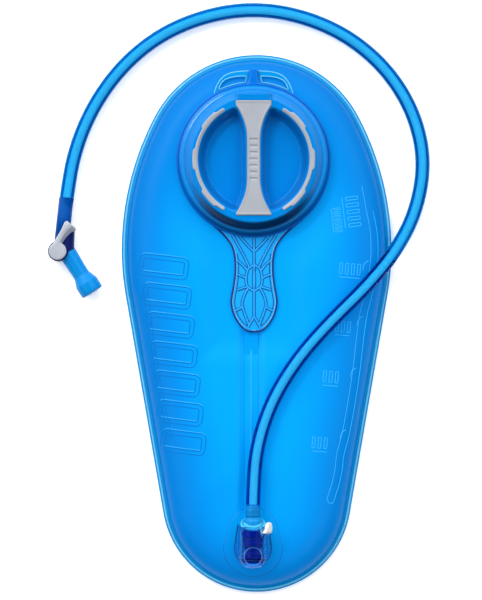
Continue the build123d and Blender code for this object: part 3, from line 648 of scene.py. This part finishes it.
def bag_seam():
    """Welded border: a thin flange with a rounded bead where the weld begins, coloured as a painted highlight,
    and a painted dark shade line round its outer edge.
    """
    mid = (SEAM_TOP + SEAM_BASE) / 2
    section = ((0.0, -0.35), (0.0, 0.35), (0.5, 0.6), (2.2, 0.65), (3.0, 0.9), (3.8, 1.5), (4.6, 1.75),
               (5.4, 1.5), (6.2, 0.9), (6.2, -0.7), (4.0, -0.9), (2.2, -0.65), (0.5, -0.6))
    seam = skin("bag_seam", [bag_ring(inset, mid + rise) for inset, rise in section], wrap=True)
    dress(seam, seam_blue, "bladder", "perimeter_seam", slot="bag_film")
    # the bead is a painted highlight and the rim a painted shade line
    for name, inset, rise, radius, material in (("seam_bead", 1.9, 0.35, 0.75, painted_highlight_cyan),
                                                ("seam_rim", 0.45, 0.0, 0.42, painted_shade_navy)):
        raised_line(name, [bag_ring(inset, mid + rise)], radius, material, slot="bag_film", cyclic=True)


# ---- cap ----
def bar_half(y):
    """Half-width of the hourglass bar at a distance along it."""
    t = clamp((abs(y) - BAR_FLARE_Y0) / (BAR_FLARE_Y1 - BAR_FLARE_Y0))
    return BAR_WAIST + (BAR_END - BAR_WAIST) * t ** BAR_FLARE_POWER


def cap_height(x, y):
    """Crown of the cap: domed and stepped rim, two finger wells and the raised block at the bar's end."""
    r = hypot(x, y)
    z = CROWN - 5.0 * ease(r, 47.6, 53.6) - 0.9 * clamp((r - 53.0) / 3.0)
    z -= 3.3 * ease(r, 55.7, 57.3) + 0.9 * ease(r, 58.1, 59.1)
    z -= 0.35 * (1 - ease(abs(r - 48.6), 0.2, 0.6)) + 0.4 * (1 - ease(abs(r - 52.9), 0.2, 0.7))
    on_block = 1 - ease(abs(x), BLOCK_HALF - 0.5, BLOCK_HALF + 0.2)
    block_end = BAR_Y1 + BLOCK_LEN
    on_block *= ease(y, BAR_Y1 - 0.5, BAR_Y1) * (1 - ease(y, block_end - 0.4, block_end + 0.5))
    z += (BLOCK_TOP - z) * on_block
    wall = ease(WELL_R - r, 0.0, WELL_SLOPE)
    side = ease(abs(x) - bar_half(y) - 0.7, 0.0, 3.2)
    return z - WELL_DEPTH * wall * side


def rim_painted_shade(x, y, z):
    """How deep the painted shade is: deepest in a crescent low on the rim, with darker rings at the rim's
    steps.
    """
    x, y = x - PORT_X, y - PORT_Y
    r = max(hypot(x, y), 1.0)
    crescent = ease(r, 47.4, 49.4) * (1 - 0.45 * ease(r, 53.4, 55.0)) * ease(-y / r, 0.36, 0.92)
    rings = sum(share * (1 - ease(abs(r - middle), 0.0, half)) for middle, half, share in RIM_SHADE_RINGS)
    return min(1.0, crescent + rings)


def cap_body():
    """Screw cap: its crown, rim and underside, turned as rings about the port."""
    segments, step = 400, 0.45
    count = int(CAP_R / step)
    rings = [(CAP_R * (k + 1) / count, None) for k in range(count)]
    rings += [(CAP_R, 30.0), (CAP_R - 0.3, 28.4), (CAP_R - 1.2, 28.2), (56.0, 28.2), (56.0, 25.4),
              (56.8, 25.4), (56.8, 24.6), (52.6, 24.6), (52.6, 36.5), (45.0, 36.5), (45.0, 25.6),
              (44.4, 25.0), (20.0, 25.0)]
    points = [(PORT_X, PORT_Y, cap_height(0, 0))]
    for r, z in rings:
        for k in range(segments):
            a = 2 * pi * k / segments
            x, y = r * cos(a), r * sin(a)
            points.append((PORT_X + x, PORT_Y + y, cap_height(x, y) if z is None else z))
    faces = [(0, 1 + k, 1 + (k + 1) % segments) for k in range(segments)]
    for ring in range(len(rings) - 1):
        a, b = 1 + ring * segments, 1 + (ring + 1) * segments
        for k in range(segments):
            m = (k + 1) % segments
            faces.append((a + k, b + k, b + m, a + m))
    faces.append(tuple(1 + (len(rings) - 1) * segments + k for k in range(segments)))
    cap = fix_normals(mesh_object("cap_shell", points, faces))
    # painted shade on the rim, stored on each vertex
    measured(cap, "painted_shade", rim_painted_shade)
    return dress(cap, cap_blue, "cap", "cap_body", slot="cap_plastic")


def grip_bar():
    """Grey hourglass bar with a raised edge and a row of short grooves for the thumb."""
    rows, columns = 240, 36
    loops = []
    for j in range(rows + 1):
        y = BAR_Y0 + (BAR_Y1 - BAR_Y0) * j / rows
        to_end = min(y - BAR_Y0, BAR_Y1 - y)
        half = bar_half(y) - 0.5 * (1 - ease(to_end, 0.0, 0.8))
        low = WELL_FLOOR + 6 if abs(y) < 36 else CROWN - 2
        loop = [(half, y, low)]
        for i in range(columns + 1):
            x = half * (1 - 2 * i / columns)
            edge = 1 - ease(half - abs(x), 0.0, 0.9)
            z = BAR_TOP - 0.75 * max(edge, 1 - ease(to_end, 0.0, 1.0)) ** 2
            z -= 0.3 * ease(half - abs(x), 1.2, 1.8) * ease(to_end, 1.4, 2.0)
            if abs(y) < GROOVE_SPAN:
                wave = abs(((y + GROOVE_SPAN) % GROOVE_PITCH) - GROOVE_PITCH / 2)
                z -= 0.7 * (1 - ease(wave, 0.6, 1.1)) * (1 - ease(abs(x), 2.6, 3.2))
            loop.append((x, y, z))
        loop.append((-half, y, low))
        loops.append([(PORT_X + x, PORT_Y + y, z) for x, y, z in loop])
    return dress(skin("grip_bar", loops), grip_grey, "cap", "cap_grip_bar", slot="grip_rubber")


def scalloped_grip(side, node):
    """One grey grip: a thin arc with three low lobes on its outer edge."""
    count, inner = 160, WELL_R - 0.4
    loops = []
    for k in range(count + 1):
        a = radians(GRIP_HALF * (2 * k / count - 1))
        outer = GRIP_OUTER
        for lobe in (-41, 0, 41):
            outer += LOBE_RISE * (1 - ease(abs(degrees(a) - lobe), 8.4, 11.0))
        tip = ease(GRIP_HALF - abs(degrees(a)), 0.0, 1.2)
        top = CROWN + 1.0 * sqrt(tip)
        section = ((inner, CROWN - 2.5), (inner, top - 1.3), (inner + 0.5, top - 0.7),
                   (inner + 1.6, top - 0.25), (outer - 0.9, top), (outer - 0.35, top - 0.1),
                   (outer, top - 0.5), (outer, CROWN - 2.5))
        mid = (inner + outer) / 2
        loop = []
        for r, z in section:
            r = mid + (r - mid) * (0.6 + 0.4 * tip)
            loop.append((PORT_X + side * r * cos(a), PORT_Y + r * sin(a), z))
        loops.append(loop)
    return dress(skin(node + "_pad", loops), grip_grey, "cap", node, slot="grip_rubber")


def band():
    """The tether's ring: a soft band that shows as a dark line round the cap."""
    profile = rounded([(56.4, 25.7), (59.6, 25.7), (59.6, 27.9), (56.4, 27.9)], 0.9)
    ring = lathe("tether_band", profile, Matrix.Translation((PORT_X, PORT_Y, 0)), segments=200)
    return dress(ring, tether_blue, "tether", "tether_ring", slot="tether_plastic")


def strap():
    """Flared strap from the ring to its hook on the lug."""
    widths = ((58.3, 9.6), (59.2, 6.9), (60.2, 5.3), (61.8, 4.2), (64.5, 3.4), (67.0, 3.3), (69.0, 3.6),
              (69.8, 3.4))
    loops = []
    for y, half in flowing(widths, 6):
        z = STRAP_Z + 0.35 * ease(y, 60, 66)
        section = ((-1, -0.55), (-0.96, 0.1), (-0.8, 0.5), (-0.4, 0.66), (0.4, 0.66), (0.8, 0.5), (0.96, 0.1),
                   (1, -0.55), (0, -0.62))
        loops.append([(PORT_X + half * u, PORT_Y + y, z + h) for u, h in section])
    bar = skin("tether_strap_soft", loops)
    bar.data.materials.append(strap_blue)
    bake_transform(bar)
    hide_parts("tether_strap")
    hook = at_port([(-3.5, 65.5), (3.5, 65.5), (3.7, 69.6), (2.8, 70.6), (-2.8, 70.6), (-3.7, 69.6)])
    clip = plate("strap_hook", [hook], CROWN_Z + 0.3, STRAP_Z - 0.7, 0.4)
    dress(clip, strap_blue, "bladder", "tether_clip", slot="tether_plastic")


# ---- filling port and handle ----
def slot_outline(side):
    """One hanger slot, from the web beside the strap to its tip at the ring."""
    return at_port(arc(0, 0, SLOT_LOW_R, 84.0, 64.5) + flowing(SLOT_TOP, 5), side)


def lug():
    """Welded flange with its hanger lug; raised lips run round the slots and along the lug's edge, in a lighter
    cyan that paints a highlight on them.
    """
    crest = flowing(LUG_CREST, 6)
    crest += [(-x, y) for x, y in reversed(crest[:-1])]
    outer = at_port(crest + arc(0, 0, 58.0, 119.0, 421.0))
    mouth = at_port(arc(0, 0, 50.2, 0, 357))
    slots = [slot_outline(side) for side in (-1, 1)]
    base = plate("lug_plate", [outer, mouth, *slots], CROWN_Z + 0.35, LUG_TOP, 0.35)
    dress(base, lug_blue, "bladder", "collar_flange", slot="clear_plastic")
    # painted highlights: lighter cyan lips round the slots and along the lug
    raised_line("slot_lip", [lifted(outline, LUG_TOP) for outline in slots], 0.4, painted_highlight_cyan, cyclic=True)
    raised_line("lug_lip", [lifted(outer[:len(crest)], LUG_TOP - 0.2)], 0.42, painted_highlight_cyan)


def handle_outline(inset=0.0):
    """The handle's outline; a wider root is hidden under the cap."""
    right = flowing([(half - inset, y) for half, y in HANDLE_SIDE] + [(0.0, HANDLE_TIP + inset)], 7)
    left = [(-x, y) for x, y in reversed(right[:-1])]
    return [(HANDLE_X + x, PORT_Y + y) for x, y in right + left]


def beside(path, gap):
    """A line that runs beside another at a fixed distance to its left."""
    out = []
    for k, (x, y) in enumerate(path):
        ahead = Vector(path[min(k + 1, len(path) - 1)]) - Vector(path[max(k - 1, 0)])
        across = Vector((-ahead.y, ahead.x)).normalized() * gap
        out.append((x + across.x, y + across.y))
    return out


def handle():
    """Filling handle: a thin plate with a rolled rim painted dark as shade, a truss of ribs with painted dark
    shade lines along their sides, and a painted cyan highlight line inside the rim.
    """
    rib_z, side_z = HANDLE_TOP - 0.5, HANDLE_TOP - 0.45
    base = plate("handle_base", [handle_outline()], CROWN_Z + 0.5, rib_z, 0.45)
    dress(base, rib_blue, "bladder", "handle_plate", slot="clear_plastic")
    ribs, sides = [], []
    for line in HANDLE_RIBS:
        for side in ((-1, 1) if any(x for x, _ in line) else (1,)):
            path = [(HANDLE_X + side * x, PORT_Y + y) for x, y in flowing(line, 5)]
            ribs.append(lifted(path, rib_z))
            sides += [lifted(beside(path, gap), side_z) for gap in (-RIB_SIDE, RIB_SIDE)]
    for side in (-1, 1):
        wall = flowing([(HANDLE_X + side * x, PORT_Y + y) for x, y in HANDLE_WALL], 6)
        sides.append(lifted(wall, side_z))
    raised_line("handle_truss", ribs, RIB_R, rib_blue, "handle_ribs")
    # painted shade lines beside the ribs and round the rim, and a painted highlight line inside it
    raised_line("handle_rib_sides", sides, RIB_SIDE_R, painted_shade_navy)
    raised_line("handle_rim", [lifted(handle_outline(0.6), rib_z)], 0.85, painted_shade_navy)
    raised_line("handle_lip", [lifted(handle_outline(1.5), HANDLE_TOP - 0.3)], 0.3, painted_highlight_cyan)


# ---- exit port ----
def pad_outline(inset=0.0):
    """The pad's pear shape."""
    return arc(EXIT_X, -161.8, 19.5 - inset, 8, 172) + arc(EXIT_X, -173.3, 23.0 - inset, 180, 360)


def exit_pad():
    """Pear-shaped pad welded to the film, which it follows."""
    rings = []
    for share in (1.0, 0.985, 0.96, 0.93, 0.8, 0.6, 0.4, 0.2, 0.05):
        ring = [(EXIT_X + (x - EXIT_X) * share, EXIT_Y + (y - EXIT_Y) * share) for x, y in pad_outline()]
        lift = 0.05 if share == 1.0 else 0.7
        rings.append([(x, y, film_height(x, y) + lift) for x, y in ring])
    pad = skin("weld_pad", rings, ends=False)
    measured(pad, "inset", edge_shade_share)
    modify(pad, "SOLIDIFY", thickness=PAD_T * MM, offset=-1)
    return dress(pad, film_blue, "bladder", "exit_pad", slot="clear_plastic")


def on_hose_axis(name, profile):
    """Turns a profile round the hose's axis at the exit, with its heights along +Y."""
    place = Matrix.Translation((EXIT_X, 0, AXIS_Z)) @ Matrix.Rotation(-pi / 2, 4, "X")
    return lathe(name, profile, place)


def socket():
    """Clear boat-shaped housing with a domed barrel, bored for the plug."""
    boat = arc(EXIT_X, SOCKET_Y, SOCKET_R, 180, 360)
    boat += [(EXIT_X + SOCKET_MOUTH_HALF, MOUTH_Y), (EXIT_X - SOCKET_MOUTH_HALF, MOUTH_Y)]
    base = plate("boat", [boat], CROWN_Z - 2.5, AXIS_Z - 3.5, 1.6)
    dome = [(0, BARREL_Y0), (5.5, BARREL_Y0), (9.6, BARREL_Y0 + 2.6), (BARREL_R, BARREL_Y0 + 8.0),
            (BARREL_R, MOUTH_Y), (0, MOUTH_Y)]
    barrel = on_hose_axis("barrel", rounded(dome, 3.0, 6))
    block = [(-5.6, -162.5), (5.6, -162.5), (5.6, MOUTH_Y - 0.4), (-5.6, MOUTH_Y - 0.4)]
    boss = plate("boss", [block], 9.0, 13.4, 0.8)
    boss.data.transform(button_matrix())
    body = fuse("socket_body", [base, barrel, boss], 0.45, rounds=6)
    bore = on_hose_axis("bore", [(0, BORE_END), (BORE_R, BORE_END), (BORE_R, -160.8), (10.4, -160.4),
                                 (10.4, MOUTH_Y + 4), (0, MOUTH_Y + 4)])
    return dress(carve(body, bore), socket_clear, "bladder", "exit_socket", slot="clear_plastic")


def button_matrix():
    """Metres from the button's own frame: Z out along its travel, Y along the hose."""
    turn = Matrix.Rotation(BUTTON_TILT, 4, "Y")
    return Matrix.Translation((EXIT_X * MM, 0, AXIS_Z * MM)) @ turn


def button():
    """Rounded thumb button, cut away beside the collar."""
    low, high = -160.2, -151.8
    outline = flowing([(-6.2, low + 0.9), (-3.4, low + 0.2), (2.4, low), (3.8, low + 1.3), (4.1, high - 3.0),
                       (2.6, high - 0.3), (0.2, high), (-1.6, high - 1.2), (-3.8, -156.8)], 6, cyclic=True)
    cap = plate("button_cap", [outline], 12.3, 15.7, 1.1)
    cap.data.transform(button_matrix())
    return dress(cap, button_white, "button", "release_button", slot="button_plastic")


def leaf_spring():
    """Bowed leaf under the button."""
    loops = []
    for k in range(25):
        u = k / 12 - 1
        low = LEAF_LOW + LEAF_BOW * (1 - u * u)
        section = ((LEAF_Y0, 0.1), (LEAF_Y0 + 0.15, 0.35), (LEAF_Y1 - 0.15, 0.35), (LEAF_Y1, 0.1),
                   (LEAF_Y1 - 0.15, 0.0), (LEAF_Y0 + 0.15, 0.0))
        loops.append([(u * LEAF_HALF, y, low + h) for y, h in section])
    leaf = skin("leaf_spring", loops)
    leaf.data.transform(button_matrix())
    dress(leaf, steel, "bladder", "button_spring", slot="spring_steel")
    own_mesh(leaf)


def plug():
    """Deep blue hose plug: a rounded nose, a stepped shoulder and a stem."""
    corners = [(2.5, -180.3), (5.6, -180.3), (6.6, -179.6), (6.9, -178.4), (6.9, -174.2), (7.6, -173.6),
               (9.4, -171.6), (9.4, -158.4), (6.0, -158.4), (6.0, -155.6), (2.5, -155.6)]
    shell = on_hose_axis("plug_shell", rounded(corners, 0.35, 3))
    return dress(shell, plug_blue, "hose", "plug_body", slot="plug_plastic")


def plug_tail():
    """Barbed tail of the plug, which swells the hose's end a little."""
    corners = [(2.5, -155.5), (6.6, -155.5), (6.8, -151.2), (5.9, -149.8), (5.9, -148.4), (4.4, -148.0),
               (5.55, -147.6), (5.3, -144.0), (5.55, -143.4), (5.3, -139.8), (4.6, -138.8), (2.5, -138.6)]
    return dress(on_hose_axis("plug_tail", rounded(corners, 0.3, 3)), tail_blue, "hose", slot="plug_plastic")


def collar():
    """Raked finger flange round the hose: an outer lip, a groove and an inner hub."""
    profile = [(5.7, -0.9), (9.0, -0.9), (9.7, -0.3), (9.75, 0.9), (9.3, 1.4), (8.3, 1.4), (7.9, 0.3),
               (7.2, 0.2), (6.9, 1.9), (6.5, 2.6), (5.7, 2.7)]
    turn = Matrix.Rotation(COLLAR_RAKE - pi / 2, 4, "X")
    place = Matrix.Translation((EXIT_X, COLLAR_Y, AXIS_Z + 0.4)) @ turn
    flange = lathe("collar_flange_raked", rounded(profile, 0.35, 3), place)
    return dress(flange, collar_cyan, "hose", "plug_collar", slot="clear_plastic")


def poppet():
    """Round-edged valve disc below the plug's nose."""
    profile = [(0, -181.2), (6.4, -181.2), (6.9, -181.6), (6.6, -182.7), (5.0, -183.3), (0, -183.4)]
    disc = on_hose_axis("poppet_disc", rounded(profile, 0.3, 3))
    return dress(disc, plug_blue, "poppet", "poppet", slot="plug_plastic")


def port_lines():
    """Dark lines painted as shade at the edges round the boat and round the pad, and a violet ring round the
    outlet inside the housing.
    """
    half = SOCKET_MOUTH_HALF + 0.3
    boat = [(EXIT_X - half, MOUTH_Y), *arc(EXIT_X, SOCKET_Y, SOCKET_R, 172, 368), (EXIT_X + half, MOUTH_Y)]
    pad = pad_outline(0.3)
    outlet = lifted(arc(EXIT_X, -177.5, 6.9, 0, 354), AXIS_Z + 10.6)
    # painted shade: dark lines along the boat's and the pad's edges
    raised_line("boat_edge", [lifted(boat, AXIS_Z - 5.0)], 0.42, painted_shade_navy)
    raised_line("pad_edge", [on_film(pad + pad[:1], -0.35)], 0.24, painted_shade_navy)
    raised_line("outlet_ring", [outlet], 0.32, ring_violet, cyclic=True)


# ---- bite valve ----
def pole(name, start, end, r0, r1, segments=40):
    """A closed tapered rod between two points."""
    start, end = Vector(start), Vector(end)
    length = (end - start).length
    place = Matrix.Translation(start) @ facing(end - start)
    return lathe(name, [(0, 0), (r0, 0), (r1, length), (0, length)], place, segments)


def ball(name, place, radius):
    """A closed ball from a turned half circle."""
    half = [(radius * cos(radians(a)), radius * sin(radians(a))) for a in range(-90, 91, 10)]
    return lathe(name, [(max(r, 0.0), h) for r, h in half], Matrix.Translation(place), 36)


def valve_body():
    """Navy elbow: a barb inside the hose, a bend, the spool's housing and the mouthpiece's spigot."""
    parts = [pole("barb", hose_end - into_hose * 2, hose_end + into_hose * BARB_LEN, 3.5, 3.5),
             pole("stem", valve_corner, hose_end + into_hose * 0.2, 5.6, 5.4),
             ball("bend", valve_corner, 7.3),
             pole("shoulder", (-150.4, 57.6, 9.0), (-147.8, 76.4, 9.0), 8.0, 6.0),
             pole("housing", (*PIVOT, 1.0), (*PIVOT, 16.6), 7.8, 7.8),
             pole("neck", valve_corner, bite_start + bite_out * 0.6, 7.2, 6.9),
             pole("spigot", bite_start, bite_start + bite_out * 9, 4.9, 4.9)]
    for k in range(5):
        foot = hose_end + into_hose * (1.5 + 3.6 * k)
        parts.append(pole("tooth", foot, foot + into_hose * 3.2, 3.72, 3.3))
    body = fuse("valve_body", parts, 0.4, rounds=5)
    return dress(body, navy, "hose", "valve_elbow", slot="valve_plastic")


def hose_sleeve():
    """The stretched end of the hose over the elbow's barb, darker than the rest."""
    ends = hose_end - into_hose * 15.5, hose_end + into_hose * BARB_LEN
    return dress(pole("hose_sleeve", *ends, 5.8, 5.66, 64), sleeve_blue, "hose", slot="hose_tpu")


def mouthpiece():
    """Blue silicone bite valve: slim neck, cone, drum end with a pressed slit."""
    turn = facing(bite_out)
    profile = [(5.0, -1.5), (6.9, -1.5), (7.1, -0.6), (6.8, 6), (6.5, 13), (6.45, 19.0), (6.8, 20.2),
               (8.7, 25.1), (9.15, 26.2), (9.15, 31), (9.0, 34.1), (8.4, 34.9), (4.0, 35.4), (0.0, 35.5),
               (0.0, 33.5), (6.6, 33.0), (6.9, 26.5), (4.6, 20.0), (5.0, 9.0)]
    piece = lathe("mouthpiece", rounded(profile, 0.5, 3), Matrix.Translation(bite_start) @ turn)
    for vertex in piece.data.vertices:
        local = turn.inverted() @ (vertex.co / MM - bite_start)
        if local.z > 33.2 and hypot(local.x, local.y) < 6.5:
            vertex.co -= bite_out * (exp(-(local.x / 0.5) ** 2) * 0.9) * MM
    return dress(piece, silicone_blue, "hose", "bite_valve", slot="bite_silicone")


def lever():
    """Grey shut-off lever: a round cap on the spool and a curved thumb arm with a turned-down side."""
    corners = [(0, 17.4), (6.85, 17.4), (6.85, 20.2), (5.6, 20.6), (0, 20.8)]
    disc = lathe("lever_disc", rounded(corners, 0.7, 4), Matrix.Translation((*PIVOT, 0)), 64)
    # each row: a point along the arm, then its reach to the left and to the right
    spine = ((-155.2, 57.5, 3.8, 4.4), (-154.4, 61.5, 3.4, 3.2), (-152.4, 65.6, 3.0, 3.1),
             (-150.0, 69.4, 3.0, 3.5), (-147.8, 73.0, 3.3, 4.6), (-145.6, 76.0, 4.1, 6.6),
             (-144.4, 77.4, 3.4, 5.8))
    line = flowing(spine, 6)
    loops = []
    for k, (x, y, left, right) in enumerate(line):
        ahead = Vector(line[min(k + 1, len(line) - 1)][:2]) - Vector(line[max(k - 1, 0)][:2])
        across = Vector((ahead.y, -ahead.x)).normalized()
        rise = 2.4 * ease(k / len(line), 0.2, 0.8)
        section = ((-left, 17.6), (-left - 0.2, 19.0 + rise * 0.4), (-left * 0.8, 20.2 + rise * 0.8),
                   (-left * 0.2, 20.7 + rise), (right * 0.3, 20.6 + rise), (right * 0.5, 20.0 + rise * 0.8),
                   (right * 0.75, 18.4), (right, 17.4), (0, 17.2))
        loops.append([(x + across.x * u, y + across.y * u, z) for u, z in section])
    piece = fuse("lever_thumb", [disc, skin("lever_arm", loops)], 0.35)
    return dress(piece, lever_grey, "lever", "valve_lever", slot="lever_plastic")


# ---- moulded marks on the film ----
def on_film(path, sink=0.12):
    """A line laid on the front film, a little sunk into it."""
    fine = path[:1]
    for (ax, ay), (bx, by) in zip(path, path[1:]):
        steps = max(1, round(hypot(bx - ax, by - ay) / 1.5))
        fine += [(ax + (bx - ax) * k / steps, ay + (by - ay) * k / steps) for k in range(1, steps + 1)]
    out = []
    for x, y in fine:
        hit = film_tree.ray_cast(Vector((x * MM, y * MM, 0.1)), Vector((0, 0, -1)))[0]
        out.append((x, y, hit.z / MM - sink))
    return out


def gauge():
    """Filling gauge: two fine ribs with a hook at each mark, and stroke tallies, all lighter than the film as a
    painted highlight.
    """
    main = flowing(GAUGE_LINE, 10)
    lines = [on_film(main, 0.2), on_film([(x + 5.6, y - 1.5) for x, y in main[10:]])]
    x, y = main[-1]
    foot = [(x, y), (x + 1.2, y - 2.8), (x + 4.1, y - 3.5), (x + 5.6, y - 1.5)]
    lines.append(on_film(flowing(foot, 4), 0.2))
    for x, y in GAUGE_MARKS:
        hook = [(x + 2.6, y + 2.6), (x + 0.4, y + 1.4), (x - 1.4, y - 1.2), (x - 1.8, y - 4.4)]
        lines.append(on_film(flowing(hook, 4)))
    strokes = []
    for x, y, height, count, turn in GAUGE_TALLIES:
        c, s = cos(radians(turn)), sin(radians(turn))
        flat = [[(0.0, -0.3 * height), (0.55 * height * (count - 0.5), -0.3 * height)]]
        for k in range(count):
            left = 0.55 * height * k
            right = left + 0.26 * height
            flat.append([(left, 0.0), (left, height), (right, height), (right, 0.0), (left, 0.0)])
        strokes += [on_film([(x + u * c - v * s, y + u * s + v * c) for u, v in line], 0.1) for line in flat]
    # the ribs and tallies are lighter, as a painted highlight
    raised_line("gauge_ribs", lines, 0.3, film_mark_highlight, slot="bag_film")
    raised_line("gauge_tallies", strokes, 0.32, film_mark_highlight, slot="bag_film")


def tablets():
    """A column of plain rounded tablets, each a double outline pressed into the film along the left side, with
    painted highlight lines along the outer outline's top and the inner outline's bottom.
    """
    lines, lights = [], []
    lean = radians(-7)
    for k in range(TABLET_COUNT):
        t = k / (TABLET_COUNT - 1)
        x, y = (a + (b - a) * t for a, b in zip(TABLET_FROM, TABLET_TO))
        for shrink, side in ((0.0, 1), (3.2, -1)):
            wide, corner = 8.4 - shrink, 4.6 - shrink
            reach = 19.0 - 1.5 * t - shrink - corner
            loop = []
            for cx, cy, start in ((1, 1, 0), (-1, 1, 90), (-1, -1, 180), (1, -1, 270)):
                loop += arc(cx * reach, cy * (wide - corner), corner, start, start + 90, 1.2)
            turned = [(x + u * cos(lean) - v * sin(lean), y + u * sin(lean) + v * cos(lean)) for u, v in loop]
            lines.append(on_film(turned + turned[:1], 0.45))
            # painted highlight: a lighter line beside the upper edge of each outline
            lit = [p for p, (u, v) in zip(turned, loop) if side * v > wide - 0.3 * corner]
            lights.append(on_film([(px, py + 0.7) for px, py in lit], 0.12))
    raised_line("pressed_tablets", lines, 0.62, film_blue, slot="bag_film")
    raised_line("tablet_painted_highlights", lights, 0.27, film_mark_highlight, slot="bag_film")


def baffle_lines():
    """Where the baffle is welded to the film: a faint line down its middle, lighter as a painted highlight, and
    a sharper dark one at each side.
    """
    middle, *sides = (on_film([(BAFFLE_X + across, y) for y in (BAFFLE_Y0 + 2.0, BAFFLE_Y1 - 1.0)], 0.1)
                      for across in (0.0, -BAFFLE_HALF, BAFFLE_HALF))
    raised_line("baffle_middle", [middle], 0.3, film_mark_highlight, slot="bag_film")
    raised_line("baffle_sides", sides, 0.22, weld_line, slot="bag_film")


def side_welds():
    """Two faint parallel ribs along the left side."""
    lines = [on_film(flowing([(x + dx, y) for x, y in SIDE_WELD], 12), 0.3) for dx in (0.0, 3.0)]
    raised_line("side_ribs", lines, 0.45, film_blue, slot="bag_film")


# ---- hose ----
def drink_hose():
    hose = curve_object("drink_hose", "NURBS", [HOSE_ROUTE], dimensions="3D", bevel_depth=1.0,
                        bevel_resolution=12, resolution_u=24)
    spline = hose.data.splines[0]
    for point in spline.points:
        point.radius = HOSE_R * MM
    spline.order_u = 3
    spline.use_endpoint_u = True
    modify(hose, "SOLIDIFY", thickness=HOSE_LOOK * MM, offset=-1, use_rim=True, material_offset=1)
    dress(hose, hose_wall, "hose", "drink_tube", slot="hose_tpu")
    hose.data.materials.append(hose_bore)
    return hose


# ---- camera, floor and light ----
def camera():
    """Straight above, framed as the photograph is."""
    data = bpy.data.cameras.new("camera")
    data.sensor_width = SENSOR
    data.lens = SENSOR * CAMERA_HEIGHT / FRAME_HEIGHT
    eye = shown("camera", data)
    eye.location = (-0.0122, 0.0183, CAMERA_HEIGHT)
    bpy.context.scene.camera = eye


def area_light(name, place, width, length, power):
    """A soft lamp that points at the origin."""
    data = bpy.data.lights.new(name, "AREA")
    data.shape = "RECTANGLE"
    data.size, data.size_y = width, length
    data.energy = power
    lamp = shown(name, data)
    lamp.location = place
    lamp.rotation_euler = (-Vector(place)).to_track_quat("-Z", "Y").to_euler()


def studio():
    """Pale floor, a sky that is brightest to one side and dim overhead, a key lamp and a small glint."""
    reach = FLOOR_REACH
    corners = lifted([(-reach, -reach), (reach, -reach), (reach, reach), (-reach, reach)], FLOOR_Z)
    floor = mesh_object("floor", corners, [(0, 1, 2, 3)], smooth=False)
    white = plastic("floor_white", (0.9, 0.9, 0.9), (0.94, 0.94, 0.94), 0.8, 0.05, scale=3)
    floor.data.materials.append(white)
    glow(white, (1.0, 1.0, 1.0), 0.35)
    scene = bpy.context.scene
    scene.world = bpy.data.worlds.new("studio")
    scene.world.use_nodes = True
    tree = scene.world.node_tree
    link, sky = tree.links.new, tree.nodes["Background"]
    sky.inputs["Color"].default_value = (1.0, 1.0, 1.0, 1.0)
    place = add_node(tree, "TexCoord").outputs["Generated"]
    toward = add_node(tree, "VectorMath", {1: Vector(SKY_BRIGHTEST).normalized()}, operation="DOT_PRODUCT")
    link(place, toward.inputs[0])
    side_light = {"From Min": 0.02, "From Max": 0.95, "To Min": SKY_LOW, "To Max": SKY_HIGH}
    fall = add_node(tree, "MapRange", side_light, interpolation_type="SMOOTHSTEP")
    link(toward.outputs["Value"], fall.inputs["Value"])
    axes = add_node(tree, "SeparateXYZ")
    link(place, axes.inputs["Vector"])
    dim_top = {"From Min": 0.88, "From Max": 0.97, "To Min": 1.0, "To Max": 0.04}
    overhead = add_node(tree, "MapRange", dim_top, interpolation_type="SMOOTHSTEP")
    link(axes.outputs["Z"], overhead.inputs["Value"])
    dimmed = add_node(tree, "Math", operation="MULTIPLY")
    link(fall.outputs["Result"], dimmed.inputs[0])
    link(overhead.outputs["Result"], dimmed.inputs[1])
    link(dimmed.outputs["Value"], sky.inputs["Strength"])
    area_light("key", (-0.8, 0.9, 1.4), 0.9, 0.12, 9)
    area_light("glint", (0.65, -0.75, 1.3), 0.16, 0.16, 1.6)
    scene.view_settings.view_transform = "Standard"
    scene.cycles.transmission_bounces = 14
    scene.cycles.max_bounces = 20
    scene.cycles.transparent_max_bounces = 12


camera()
studio()
hose = drink_hose()
film_tree = BVHTree.FromObject(bag_front(), bpy.context.evaluated_depsgraph_get())
bag_back()
bag_seam()
gauge()
tablets()
baffle_lines()
side_welds()
lug()
handle()
cap_body()
grip_bar()
scalloped_grip(1, "cap_grip_right")
scalloped_grip(-1, "cap_grip_left")
band()
strap()
exit_pad()
socket()
port_lines()
button()
leaf_spring()
poppet()
on_hose = [plug(), plug_tail(), collar(), valve_body(), hose_sleeve(), mouthpiece(), lever()]

# CAD nodes whose shapes are kept, with new materials; the second group is added to the list of pieces on the
# hose
BAG_NODES = {"baffle": weld_blue, "collar_neck": lug_blue, "cap_gasket": seal_navy, "poppet_seal": seal_navy,
             "poppet_spring": weld_blue}
HOSE_NODES = {"plug_o_ring_inner": seal_navy, "plug_o_ring_outer": seal_navy, "valve_rotor": navy,
              "rotor_seal_lower": seal_navy, "rotor_seal_upper": seal_navy}
for node, material in (BAG_NODES | HOSE_NODES).items():
    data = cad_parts[node].data
    data.materials.clear()
    data.materials.append(material)
on_hose += [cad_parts[node] for node in HOSE_NODES]
